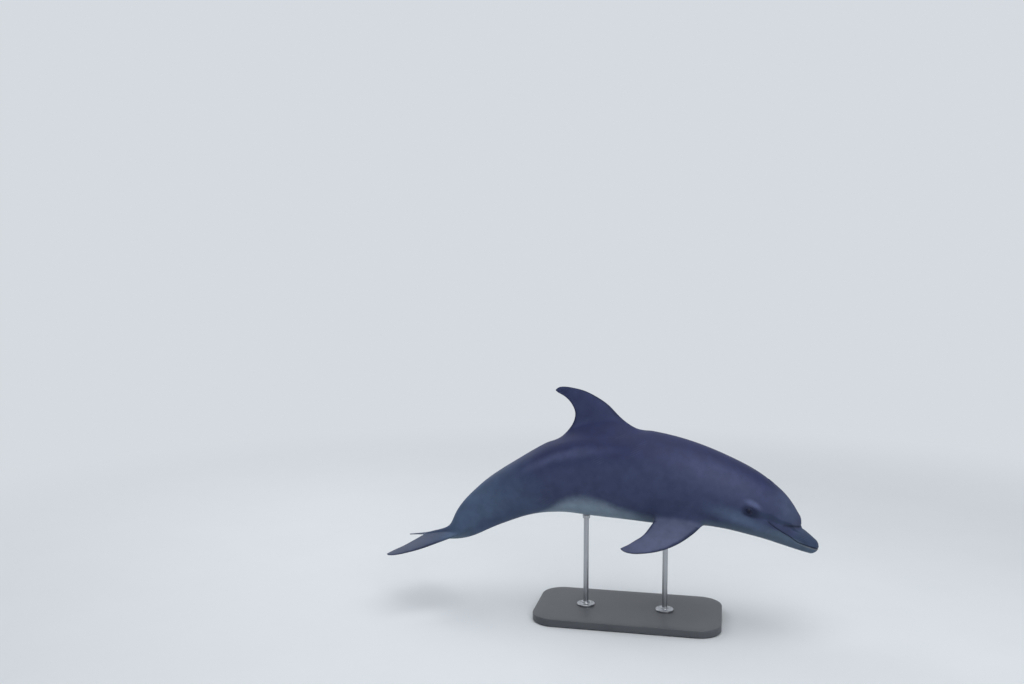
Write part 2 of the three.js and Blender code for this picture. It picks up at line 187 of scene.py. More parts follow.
def lathe(name: str, profile: list[Pair], segments: int, ring: bool = False) -> bpy.types.Mesh:
    """Turns a profile round the z axis.

    Args:
        name: name of the mesh.
        profile: (radius, height) pairs; a radius of 0 closes that end at the axis.
        segments: points round the axis.
        ring: whether the profile's last point joins its first.

    Returns:
        The closed mesh.
    """
    points: list[Triple] = []
    loops: list[list[int]] = []
    for radius, height in profile:
        if radius < LEAST_SIZE:
            loops.append([len(points)] * segments)
            points.append((0.0, 0.0, height))
            continue
        loops.append(list(range(len(points), len(points) + segments)))
        for k in range(segments):
            a = math.tau * k / segments
            points.append((radius * math.cos(a), radius * math.sin(a), height))
    faces = []
    pairs = list(zip(loops[:-1], loops[1:])) + ([(loops[-1], loops[0])] if ring else [])
    for lower, upper in pairs:
        for k in range(segments):
            after = (k + 1) % segments
            corners = (lower[k], lower[after], upper[after], upper[k])
            faces.append(tuple(dict.fromkeys(corners)))
    mesh = bpy.data.meshes.new(name)
    mesh.from_pydata(points, [], faces)
    return mesh


def close_loops(shell: bmesh.types.BMesh, loops: list[list[bmesh.types.BMVert]]) -> None:
    """Joins each loop of points to the next by a band of faces, and closes both ends.

    Args:
        shell: the mesh being built.
        loops: loops of equally many points, from the lowest up.
    """
    for lower, upper in zip(loops[:-1], loops[1:]):
        for k in range(len(lower)):
            after = (k + 1) % len(lower)
            shell.faces.new((lower[k], lower[after], upper[after], upper[k]))
    shell.faces.new(list(reversed(loops[0])))
    shell.faces.new(loops[-1])


def new_piece(mesh: bpy.types.Mesh, sharp: bool = False) -> Piece:
    """Links a mesh as a smooth-shaded object.

    Args:
        mesh: the mesh, whose name the object takes.
        sharp: whether its faces turn outward and its sharp edges are kept.

    Returns:
        The object.
    """
    shell = bmesh.new()
    shell.from_mesh(mesh)
    if sharp:
        bmesh.ops.recalc_face_normals(shell, faces=shell.faces)
    for face in shell.faces:
        face.smooth = True
    for edge in shell.edges:
        if sharp and edge.calc_face_angle(0.0) > math.radians(SHARP_ANGLE):
            edge.smooth = False
    shell.to_mesh(mesh)
    shell.free()
    piece = bpy.data.objects.new(mesh.name, mesh)
    bpy.context.collection.objects.link(piece)
    return piece


def to_foot(low: Vector, high: Vector) -> Matrix:
    """Move from the origin to the middle of a box's lower face."""
    return Matrix.Translation(((low.x + high.x) / 2, (low.y + high.y) / 2, low.z))


# ---- nodes


@dataclass(frozen=True)
class Relief:
    """Small relief in a material: its scale, its height in metres and how strongly it shows."""

    scale: float
    height: float
    strength: float


class NodeWriter:
    """Writes nodes into one tree in short calls."""

    def __init__(self, tree: Tree) -> None:
        """Keeps the tree."""
        self.tree = tree

    def add(self, kind: str, inputs: dict | None = None, **settings) -> Node:
        """Adds a node.

        Args:
            kind: type of the node.
            inputs: value or socket for each input by name or number.
            settings: properties of the node.

        Returns:
            The node.
        """
        node = self.tree.nodes.new(kind)
        for name, value in settings.items():
            setattr(node, name, value)
        self.feed(node, inputs or {})
        return node

    def feed(self, node: Node, inputs: dict) -> None:
        """Links or sets inputs of a node.

        Args:
            node: the node.
            inputs: socket or value for each input by name or number; None leaves it as it is.
        """
        for name, value in inputs.items():
            if isinstance(value, Socket):
                self.tree.links.new(value, node.inputs[name])
            elif value is not None:
                node.inputs[name].default_value = value

    def group(self, tree: Tree, **inputs) -> Node:
        """Node that places a group, with its inputs fed by name."""
        return self.add("ShaderNodeGroup", inputs, node_tree=tree)

    def math(self, operation: str, *values: object, clamp: bool = False) -> Socket:
        """Result of a Math node."""
        node = self.add("ShaderNodeMath", dict(enumerate(values)), operation=operation, use_clamp=clamp)
        return node.outputs[0]

    def plus(self, a: object, b: object) -> Socket:
        """Sum of two values."""
        return self.math("ADD", a, b)

    def minus(self, a: object, b: object) -> Socket:
        """First value less the second."""
        return self.math("SUBTRACT", a, b)

    def times(self, a: object, b: object, clamp: bool = False) -> Socket:
        """Product of two values."""
        return self.math("MULTIPLY", a, b, clamp=clamp)

    def stretch(self, vector: object, factors: object) -> Socket:
        """Vector whose parts are multiplied by the factors."""
        return self.add("ShaderNodeVectorMath", {0: vector, 1: factors}, operation="MULTIPLY").outputs[0]

    def grey(self, value: object) -> Socket:
        """A value as a grey colour."""
        return self.add("ShaderNodeCombineColor", {0: value, 1: value, 2: value}).outputs[0]

    def ramp(self, value: object, low: float, high: float, start: float = 0.0, end: float = 1.0) -> Socket:
        """Smooth ramp of a value, which gives start at the low limit and end at the high one."""
        inputs = {"Value": value, "From Min": low, "From Max": high, "To Min": start, "To Max": end}
        return self.add("ShaderNodeMapRange", inputs, interpolation_type="SMOOTHSTEP").outputs["Result"]

    def mix(self, factor: object, a: object, b: object, blend: str = "MIX") -> Socket:
        """Mix of two colours, where the factor is the share of the second."""
        node = self.add("ShaderNodeMix", {0: factor, 6: a, 7: b}, data_type="RGBA", blend_type=blend)
        return node.outputs[2]

    def noise(self, vector: object, scale: object, detail: float = 3.0, rough: float = 0.5) -> Socket:
        """Noise of a vector, as a value round a half."""
        inputs = {"Vector": vector, "Scale": scale, "Detail": detail, "Roughness": rough}
        return self.add("ShaderNodeTexNoise", inputs).outputs["Fac"]

    def curve(self, value: object, points: Table) -> Socket:
        """Value read from a smooth curve.

        Args:
            value: where the curve is read, from 0 to 1.
            points: the curve's points, between 0 and 1.

        Returns:
            The curve's height.
        """
        node = self.add("ShaderNodeFloatCurve", {"Value": value})
        line = node.mapping.curves[0]
        line.points[0].location = points[0]
        line.points[1].location = points[-1]
        for point in points[1:-1]:
            line.points.new(*point)
        node.mapping.update()
        return node.outputs[0]

    def fact(self, name: str) -> Socket:
        """A value kept on the mesh's points."""
        return self.add("ShaderNodeAttribute", attribute_name=name).outputs["Fac"]

    def place(self) -> Socket:
        """Place on the object, in metres."""
        return self.add("ShaderNodeTexCoord").outputs["Object"]

    def normal(self, height: object, relief: Relief, below: object = None) -> Socket:
        """Normal of a relief whose height runs from 0 to 1, over the normal of one below it."""
        inputs = {"Height": height, "Distance": relief.height, "Strength": relief.strength, "Normal": below}
        return self.add("ShaderNodeBump", inputs).outputs["Normal"]


def node_group(name: str, inputs: dict[str, object], *outputs: str) -> tuple[NodeWriter, Node]:
    """Starts a shader node group with named sockets.

    Args:
        name: name of the group.
        inputs: first value of each input: a number, a vector, or None for a vector that is linked.
        outputs: names of its outputs, which are numbers.

    Returns:
        Its writer, and the node that gives its inputs.
    """
    tree = bpy.data.node_groups.new(name, "ShaderNodeTree")
    for label, value in inputs.items():
        kind = "NodeSocketFloat" if isinstance(value, float) else "NodeSocketVector"
        socket = tree.interface.new_socket(label, in_out="INPUT", socket_type=kind)
        if value is not None:
            socket.default_value = value
    for label in outputs:
        tree.interface.new_socket(label, in_out="OUTPUT", socket_type="NodeSocketFloat")
    write = NodeWriter(tree)
    return write, write.add("NodeGroupInput")


@cache
def fine_grain() -> Tree:
    """Group for a small even unevenness: a tone round a half, and a height.

    Returns:
        The group's tree, built on the first call.
    """
    write, given = node_group("fine_grain", {"Vector": None, "Scale": 100.0}, "Tone", "Height")
    vector, scale = given.outputs["Vector"], given.outputs["Scale"]
    coarse = write.noise(vector, scale, 4.0, 0.55)
    finer = write.noise(vector, write.times(scale, 5.3), 2.0, 0.6)
    height = write.plus(write.times(coarse, 0.6), write.times(finer, 0.4))
    write.add("NodeGroupOutput", {"Tone": coarse, "Height": height})
    return write.tree


@cache
def hair_scratches() -> Tree:
    """Group for sparse thin curved scratches, which lie in patches and mostly in one direction.

    Returns:
        The group's tree, built on the first call.
    """
    inputs = {"Vector": None, "Scale": 10.0, "Stretch": (1.0, 1.0, 1.0), "Width": 0.01, "Patch": 0.6}
    write, given = node_group("hair_scratches", inputs, "Mask")
    vector, scale, width = given.outputs["Vector"], given.outputs["Scale"], given.outputs["Width"]
    stretched = write.stretch(vector, given.outputs["Stretch"])
    lines = write.noise(stretched, scale, 1.0, 0.4)
    near = write.math("ABSOLUTE", write.minus(lines, 0.5))
    line = write.math("SUBTRACT", 1.0, write.math("DIVIDE", near, width), clamp=True)
    cloud = write.noise(vector, write.times(scale, 0.35), 2.0)
    patch = write.times(write.minus(cloud, given.outputs["Patch"]), 9.0, clamp=True)
    write.add("NodeGroupOutput", {"Mask": write.times(line, patch)})
    return write.tree


@cache
def settled_dust() -> Tree:
    """Group for a thin veil of dust on faces that look up.

    Returns:
        The group's tree, built on the first call.
    """
    write, given = node_group("settled_dust", {"Vector": None, "Amount": 0.2}, "Mask")
    facing = write.add("ShaderNodeSeparateXYZ", {0: write.add("ShaderNodeNewGeometry").outputs["Normal"]})
    up = write.ramp(facing.outputs["Z"], 0.3, 0.95)
    cloud = write.ramp(write.noise(given.outputs["Vector"], 14.0, 5.0, 0.6), 0.3, 0.75)
    veil = write.times(write.times(up, cloud), given.outputs["Amount"])
    write.add("NodeGroupOutput", {"Mask": veil})
    return write.tree


# ---- finishes


@dataclass(frozen=True)
class Scratches:
    """Hairline scratches on a hard finish, with the inputs of their group as their form."""

    colour: Colour
    strength: float
    form: dict[str, object]

    def paint(self, write: NodeWriter, colour: Socket, place: Socket) -> Socket:
        """The scratches over a colour."""
        lines = write.group(hair_scratches(), Vector=place, **self.form).outputs["Mask"]
        return write.mix(write.times(lines, self.strength), colour, self.colour)


@dataclass(frozen=True)
class Mark:
    """Mark on the skin, placed by share along the spine and turn round the body."""

    colour: Colour
    share: Pair
    turn: Pair

    def mask(self, write: NodeWriter, share: Socket, turn: Socket) -> Socket:
        """Where the mark shows, from 0 to 1."""
        raise NotImplementedError

    def paint(self, write: NodeWriter, colour: Socket, share: Socket, turn: Socket) -> Socket:
        """The mark over a colour."""
        return write.mix(self.mask(write, share, turn), colour, self.colour)


@dataclass(frozen=True)
class Spot(Mark):
    """Oval mark, whose share and turn are each a middle and a reach."""

    soft: float
    strength: float

    def mask(self, write: NodeWriter, share: Socket, turn: Socket) -> Socket:
        """Oval that fades towards its reach.

        Args:
            write: the material's writer.
            share: share along the spine.
            turn: turn round the body.

        Returns:
            The mask.
        """
        a = write.math("DIVIDE", write.minus(share, self.share[0]), self.share[1])
        b = write.math("DIVIDE", write.minus(turn, self.turn[0]), self.turn[1])
        away = write.math("SQRT", write.plus(write.times(a, a), write.times(b, b)))
        return write.times(write.ramp(away, 1.0 - self.soft, 1.0, 1.0, 0.0), self.strength)


@dataclass(frozen=True)
class Band(Mark):
    """Mark that rises over a span of share and a span of turn."""

    strength: float = 1.0

    def mask(self, write: NodeWriter, share: Socket, turn: Socket) -> Socket:
        """Product of the two ramps."""
        along = write.ramp(share, *self.share)
        return write.times(along, write.ramp(turn, *self.turn, 0.0, self.strength))


class Finish:
    """Material whose nodes a subclass paints once."""

    name = "finish"

    def material(self) -> bpy.types.Material:
        """Makes the material on the first call and finds it on a later one.

        Returns:
            The material.
        """
        found = bpy.data.materials.get(self.name)
        if found:
            return found
        made = bpy.data.materials.new(self.name)
        made.use_nodes = True
        write = NodeWriter(made.node_tree)
        write.tree.nodes.clear()
        shader = write.add("ShaderNodeBsdfPrincipled")
        write.add("ShaderNodeOutputMaterial", {"Surface": shader.outputs[0]})
        self.paint(write, shader)
        return made

    def paint(self, write: NodeWriter, shader: Node) -> None:
        """Writes the nodes that feed the shader."""


@dataclass(frozen=True)
class SkinFinish(Finish):
    """Slate skin: dark cape, grey flank, pale belly and throat, dark fins, and fine marks.

    A pair is a span of share along the spine or of turn round the body, which is 0 on the back and
    1 on the belly. Marks are laid over one another in the order in which they are named. The shoulder
    and brow carry painted highlights and the melon partly one; the top of the tail's end and the
    creases carry painted shade, and the flukes are a little lightened as painted light.
    """

    name: str = "dolphin_skin"
    back: Colour = rgb(40, 46, 80)
    flank: Colour = rgb(58, 66, 96)
    tail: Colour = rgb(76, 92, 118)
    # Painted shade: the upward-facing top of the tail's end and the fluke roots are darkened against the
    # light from above.
    tail_top_shade: Band = Band(rgb(47, 58, 83), (0.9, 0.95), (0.62, 0.42), 0.8)
    tail_low: Band = Band(rgb(64, 78, 106), (0.6, 0.75), (0.5, 0.75))
    keel: Band = Band(rgb(84, 101, 117), (0.84, 0.93), (0.5, 0.72))
    streak: Spot = Spot(rgb(77, 84, 116), (0.6, 0.15), (0.29, 0.075), 0.9, 0.6)
    # Painted highlight: the shoulder behind the head is lighter where light from above falls on it.
    shoulder: Spot = Spot(rgb(77, 84, 116), (0.25, 0.24), (0.3, 0.2), 1.0, 0.72)
    throat: Colour = rgb(73, 88, 107)
    belly: Colour = rgb(124, 140, 156)
    belly_edge: Table = (
        (0.0, 0.5), (0.09, 0.52), (0.13, 0.6), (0.2, 0.665), (0.28, 0.74), (0.38, 0.755), (0.44, 0.72),
        (0.49, 0.67), (0.53, 0.635), (0.57, 0.63), (0.61, 0.67), (0.655, 0.78), (0.72, 0.93),
        (0.78, 1.0), (1.0, 1.0),
    )
    beak: Band = Band(rgb(55, 68, 92), (0.075, 0.055), (0.52, 0.46))
    jaw: Band = Band(rgb(79, 94, 113), (0.15, 0.09), (0.49, 0.53))
    # Lighter melon: partly its own paler tone, partly a painted highlight of light on the melon's front.
    melon_tone_and_highlight: Spot = Spot(rgb(78, 88, 114), (0.1, 0.085), (0.2, 0.3), 0.95, 0.8)
    cheek: Spot = Spot(rgb(88, 104, 132), (0.185, 0.115), (0.58, 0.135), 0.95, 0.8)
    # Painted highlight: the brow over the eye is lighter where light from above falls on it.
    brow: Spot = Spot(rgb(104, 113, 152), (0.181, 0.027), (0.405, 0.046), 0.85, 0.72)
    stripe: Colour = rgb(47, 58, 83)
    stripe_line: Table = (
        (0.0, 0.2), (0.053, 0.25), (0.077, 0.295), (0.0975, 0.361), (0.115, 0.4), (0.135, 0.422),
        (0.151, 0.444), (0.166, 0.461), (0.3, 0.5), (1.0, 0.5),
    )
    lip: Colour = rgb(122, 124, 122)
    eye_patch: Spot = Spot(rgb(34, 41, 66), (0.1805, 0.027), (0.474, 0.066), 0.6, 0.97)
    dorsal: Colour = rgb(57, 64, 97)
    flipper: Colour = rgb(81, 88, 115)
    # The flukes' own slate tone, made a little lighter than the flank as painted light from above.
    fluke: Colour = rgb(66, 75, 98)
    fin_rim: Colour = rgb(38, 44, 68)
    rake: Colour = rgb(120, 128, 146)
    rakes: Relief = Relief(52.0, 0.0002, -0.4)
    # Painted shade in the mouth line and the melon's fold, where shade falls in the creases.
    crease_shade: Colour = rgb(24, 29, 44)
    swell: Relief = Relief(20.0, 0.0022, 0.35)
    pores: Relief = Relief(420.0, 0.00022, 0.45)
    roughness: Pair = (0.5, 0.6)
    specular: float = 0.14

    def paint(self, write: NodeWriter, shader: Node) -> None:
        """Writes the markings, roughness and relief of the skin.

        Args:
            write: the material's writer.
            shader: its shader.
        """
        share, turn = write.fact("share"), write.fact("turn")
        place = write.place()
        broad = write.minus(write.noise(place, 7.0, 3.0), 0.5)
        small = write.minus(write.noise(place, 46.0, 4.0, 0.6), 0.5)
        wander = write.plus(write.times(broad, 0.1), write.times(small, 0.035))
        moved = write.plus(turn, wander)
        colour = write.mix(write.ramp(moved, 0.24, 0.46), self.back, self.flank)
        colour = self._marks(write, colour, share, turn, moved)
        colour = self._fins(write, colour, share, turn, small)
        mottle = write.group(fine_grain(), Vector=place, Scale=30.0).outputs["Tone"]
        tone = write.ramp(mottle, 0.25, 0.75, 0.88, 1.12)
        colour = write.mix(1.0, colour, write.grey(tone), "MULTIPLY")
        turned = write.add("ShaderNodeMapping", {"Vector": place, "Rotation": (0.3, 0.5, 0.2)}).outputs[0]
        lines = write.add("ShaderNodeTexWave", {
            "Vector": turned, "Scale": self.rakes.scale, "Distortion": 1.2, "Detail": 1.0,
            "Detail Scale": 0.4,
        }, bands_direction="Z").outputs["Fac"]
        patch = write.ramp(write.noise(write.stretch(turned, (0.45, 1.0, 1.0)), 21.0, 1.0), 0.69, 0.74)
        rakes = write.times(write.ramp(lines, 0.9, 0.985), patch)
        colour = write.mix(write.times(rakes, 0.13), colour, self.rake)
        # Painted shade darkens the mouth line and the melon's fold.
        colour = write.mix(write.times(write.fact("crease_shade"), 0.8), colour, self.crease_shade)
        pores = write.group(fine_grain(), Vector=place, Scale=self.pores.scale).outputs["Height"]
        rough = write.plus(write.ramp(mottle, 0.2, 0.8, *self.roughness), write.times(rakes, 0.12))
        normal = write.normal(write.noise(place, self.swell.scale, 2.0), self.swell)
        normal = write.normal(rakes, self.rakes, write.normal(pores, self.pores, normal))
        write.feed(shader, {
            "Base Color": colour, "Roughness": rough, "Normal": normal, "Specular IOR Level": self.specular,
        })

    def _marks(self, write: NodeWriter, colour: Socket, share: Socket, turn: Socket,
               moved: Socket) -> Socket:
        """Adds the marks of tail, flank and belly, then the head's: among them painted shade on the top of
        the tail's end, painted highlights on the shoulder and brow, and a partly painted highlight on the
        melon.

        Args:
            write: the material's writer.
            colour: the colour under them.
            share: share along the spine.
            turn: turn round the body.
            moved: turn round the body with a wandering edge.

        Returns:
            The marked colour.
        """
        colour = write.mix(write.ramp(share, 0.61, 0.84), colour, self.tail)
        # The first is painted shade on the tail's top at the fluke roots; the shoulder spot is a painted
        # highlight.
        for mark in (self.tail_top_shade, self.tail_low, self.keel, self.streak, self.shoulder):
            colour = mark.paint(write, colour, share, moved)
        edge = write.minus(moved, write.curve(share, self.belly_edge))
        pale = write.mix(write.ramp(share, 0.36, 0.5), self.throat, self.belly)
        colour = write.mix(write.ramp(edge, -0.055, 0.08), colour, pale)
        # The melon's spot is partly its paler tone, partly a painted highlight.
        for mark in (self.beak, self.jaw, self.melon_tone_and_highlight, self.cheek):
            colour = mark.paint(write, colour, share, moved)
        # Painted highlight on the brow over the eye.
        colour = self.brow.paint(write, colour, share, turn)
        line = write.math("ABSOLUTE", write.minus(moved, write.curve(share, self.stripe_line)))
        run = write.times(write.ramp(share, 0.05, 0.07), write.ramp(share, 0.178, 0.165))
        stripe = write.times(write.ramp(line, 0.044, 0.01), run)
        colour = write.mix(write.times(stripe, 0.9), colour, self.stripe)
        lip = write.times(write.fact("lip"), write.ramp(share, 0.07, 0.02, 0.15, 0.55))
        colour = write.mix(lip, colour, self.lip)
        return self.eye_patch.paint(write, colour, share, turn)

    def _fins(self, write: NodeWriter, colour: Socket, share: Socket, turn: Socket, small: Socket) -> Socket:
        """Adds the tones of the dorsal fin, flippers and flukes, with their darker rims.

        Args:
            write: the material's writer.
            colour: the body's colour.
            share: share along the spine.
            turn: turn round the body.
            small: small noise round 0.

        Returns:
            The colour of body and fins.
        """
        fin, edge = write.fact("fin"), write.fact("edge")
        low = write.ramp(turn, 0.2, 0.4)
        far = write.ramp(share, 0.7, 0.8)
        tone = write.mix(low, self.dorsal, self.flipper)
        tone = write.mix(far, tone, self.fluke)
        tip = write.times(write.ramp(fin, 0.5, 1.0), write.ramp(far, 0.0, 1.0, 0.28, 0.0))
        tone = write.mix(tip, tone, self.fin_rim)
        rim = write.ramp(write.plus(edge, write.times(small, 0.2)), 0.8, 1.0)
        tone = write.mix(write.times(rim, 0.85), tone, self.fin_rim)
        flipper = write.times(low, write.minus(1.0, far))
        soon = write.times(write.ramp(fin, 0.0, 0.035), flipper)
        late = write.ramp(write.times(fin, write.ramp(far, 0.0, 1.0, 1.0, 0.35)), 0.0, 0.16)
        return write.mix(write.math("MAXIMUM", late, soon), colour, tone)


@dataclass(frozen=True)
class EyeFinish(Finish):
    """Dark slate-blue eye with a darker pupil under a clear wet surface."""

    name: str = "dolphin_eye"
    pupil: Colour = rgb(8, 13, 38)
    iris: Colour = rgb(24, 32, 62)
    iris_rim: Colour = rgb(14, 21, 46)
    white: Colour = rgb(30, 42, 76)
    veins: Relief = Relief(260.0, 0.0001, 0.15)
    roughness: Pair = (0.1, 0.16)
    specular: float = 0.12
    coat: float = 0.15
    coat_roughness: float = 0.03

    def paint(self, write: NodeWriter, shader: Node) -> None:
        """Writes the rings of the eye.

        Args:
            write: the material's writer.
            shader: its shader.
        """
        gaze = write.fact("gaze")
        place = write.place()
        spokes = write.noise(place, 900.0, 3.0)
        colour = write.mix(write.ramp(spokes, 0.3, 0.7), self.iris_rim, self.iris)
        colour = write.mix(write.ramp(gaze, 0.115, 0.075), colour, self.pupil)
        colour = write.mix(write.ramp(gaze, 0.15, 0.19), colour, self.iris_rim)
        veins = write.group(fine_grain(), Vector=place, Scale=self.veins.scale).outputs["Tone"]
        sclera = write.mix(veins, self.white, self.iris_rim)
        colour = write.mix(write.ramp(gaze, 0.2, 0.25), colour, sclera)
        write.feed(shader, {
            "Base Color": colour, "Roughness": write.ramp(veins, 0.2, 0.8, *self.roughness),
            "Normal": write.normal(veins, self.veins), "Specular IOR Level": self.specular,
            "Coat Weight": self.coat, "Coat Roughness": self.coat_roughness,
        })


@dataclass(frozen=True)
class BoardFinish(Finish):
    """Dark lacquered board with a fine orange-peel surface, hairline scratches and a little dust."""

    name: str = "board_lacquer"
    lacquer: Colour = rgb(70, 73, 78)
    light: Colour = rgb(78, 81, 86)
    scratches: Scratches = Scratches(rgb(118, 120, 124), 0.3, {
        "Scale": 9.0, "Stretch": (1.0, 0.5, 1.0), "Width": 0.0016, "Patch": 0.55,
    })
    dust: Colour = rgb(150, 148, 144)
    peel: Relief = Relief(520.0, 0.0001, 0.35)
    roughness: Pair = (0.38, 0.46)

    def paint(self, write: NodeWriter, shader: Node) -> None:
        """Writes the lacquer's tone, gloss and peel.

        Args:
            write: the material's writer.
            shader: its shader.
        """
        place = write.place()
        grain = write.group(fine_grain(), Vector=place, Scale=self.peel.scale)
        cloud = write.ramp(write.noise(place, 5.0, 3.0), 0.3, 0.7)
        colour = write.mix(cloud, self.lacquer, self.light)
        colour = self.scratches.paint(write, colour, place)
        veil = write.group(settled_dust(), Vector=place, Amount=0.1).outputs["Mask"]
        colour = write.mix(veil, colour, self.dust)
        rough = write.ramp(grain.outputs["Tone"], 0.3, 0.7, *self.roughness)
        write.feed(shader, {
            "Base Color": colour, "Roughness": write.plus(rough, write.times(veil, 0.8)),
            "Normal": write.normal(grain.outputs["Height"], self.peel),
        })


@dataclass(frozen=True)
class SteelFinish(Finish):
    """Brushed steel with lines round each turned piece, fingermarks and hairline scratches."""

    name: str = "brushed_steel"
    steel: Colour = rgb(178, 180, 184)
    dull: Colour = rgb(168, 170, 175)
    scratches: Scratches = Scratches(rgb(205, 207, 210), 0.4, {
        "Scale": 30.0, "Stretch": (1.0, 1.0, 0.4), "Width": 0.004, "Patch": 0.58,
    })
    brush: Relief = Relief(2600.0, 0.00002, 0.3)
    roughness: Pair = (0.27, 0.32)

    def paint(self, write: NodeWriter, shader: Node) -> None:
        """Writes the brushed lines, tone and gloss.

        Args:
            write: the material's writer.
            shader: its shader.
        """
        place = write.place()
        lines = write.noise(write.stretch(place, (0.06, 0.06, 1.0)), self.brush.scale, 2.0, 0.6)
        smears = write.group(fine_grain(), Vector=place, Scale=45.0).outputs["Tone"]
        colour = write.mix(write.ramp(lines, 0.3, 0.7), self.dull, self.steel)
        colour = self.scratches.paint(write, colour, place)
        rough = write.ramp(lines, 0.25, 0.75, *self.roughness)
        rough = write.plus(rough, write.ramp(smears, 0.4, 0.8, 0.0, 0.04))
        write.feed(shader, {
            "Base Color": colour, "Metallic": 1.0, "Roughness": rough,
            "Normal": write.normal(lines, self.brush),
        })


@dataclass(frozen=True)
class FloorFinish(Finish):
    """Pale matt studio floor, which passes into an even backdrop far from the stand."""

    name: str = "studio_floor"
    pale: Colour = rgb(211, 215, 219)
    light: Colour = rgb(218, 221, 224)
    backdrop: Colour = rgb(213, 218, 224)
    even_span: Pair = (1.1, 3.6)

    def paint(self, write: NodeWriter, shader: Node) -> None:
        """Writes the floor's tone, and the backdrop that only the camera and gloss see.

        Args:
            write: the material's writer.
            shader: its shader.
        """
        place = write.place()
        grain = write.group(fine_grain(), Vector=place, Scale=3.0)
        write.feed(shader, {
            "Base Color": write.mix(grain.outputs["Tone"], self.pale, self.light),
            "Roughness": write.ramp(grain.outputs["Height"], 0.3, 0.7, 0.8, 0.9),
        })
        away = write.add("ShaderNodeVectorMath", {0: place}, operation="LENGTH").outputs["Value"]
        paths = write.add("ShaderNodeLightPath")
        seen = write.math("MAXIMUM", paths.outputs["Is Camera Ray"], paths.outputs["Is Glossy Ray"])
        far = write.times(seen, write.ramp(away, *self.even_span))
        even = write.add("ShaderNodeEmission", {"Color": self.backdrop, "Strength": 1.0})
        surface = shader.outputs[0].links[0].to_socket
        both = write.add("ShaderNodeMixShader", {0: far, 1: shader.outputs[0], 2: even.outputs[0]})
        write.tree.links.new(both.outputs[0], surface)


# ---- the body's form


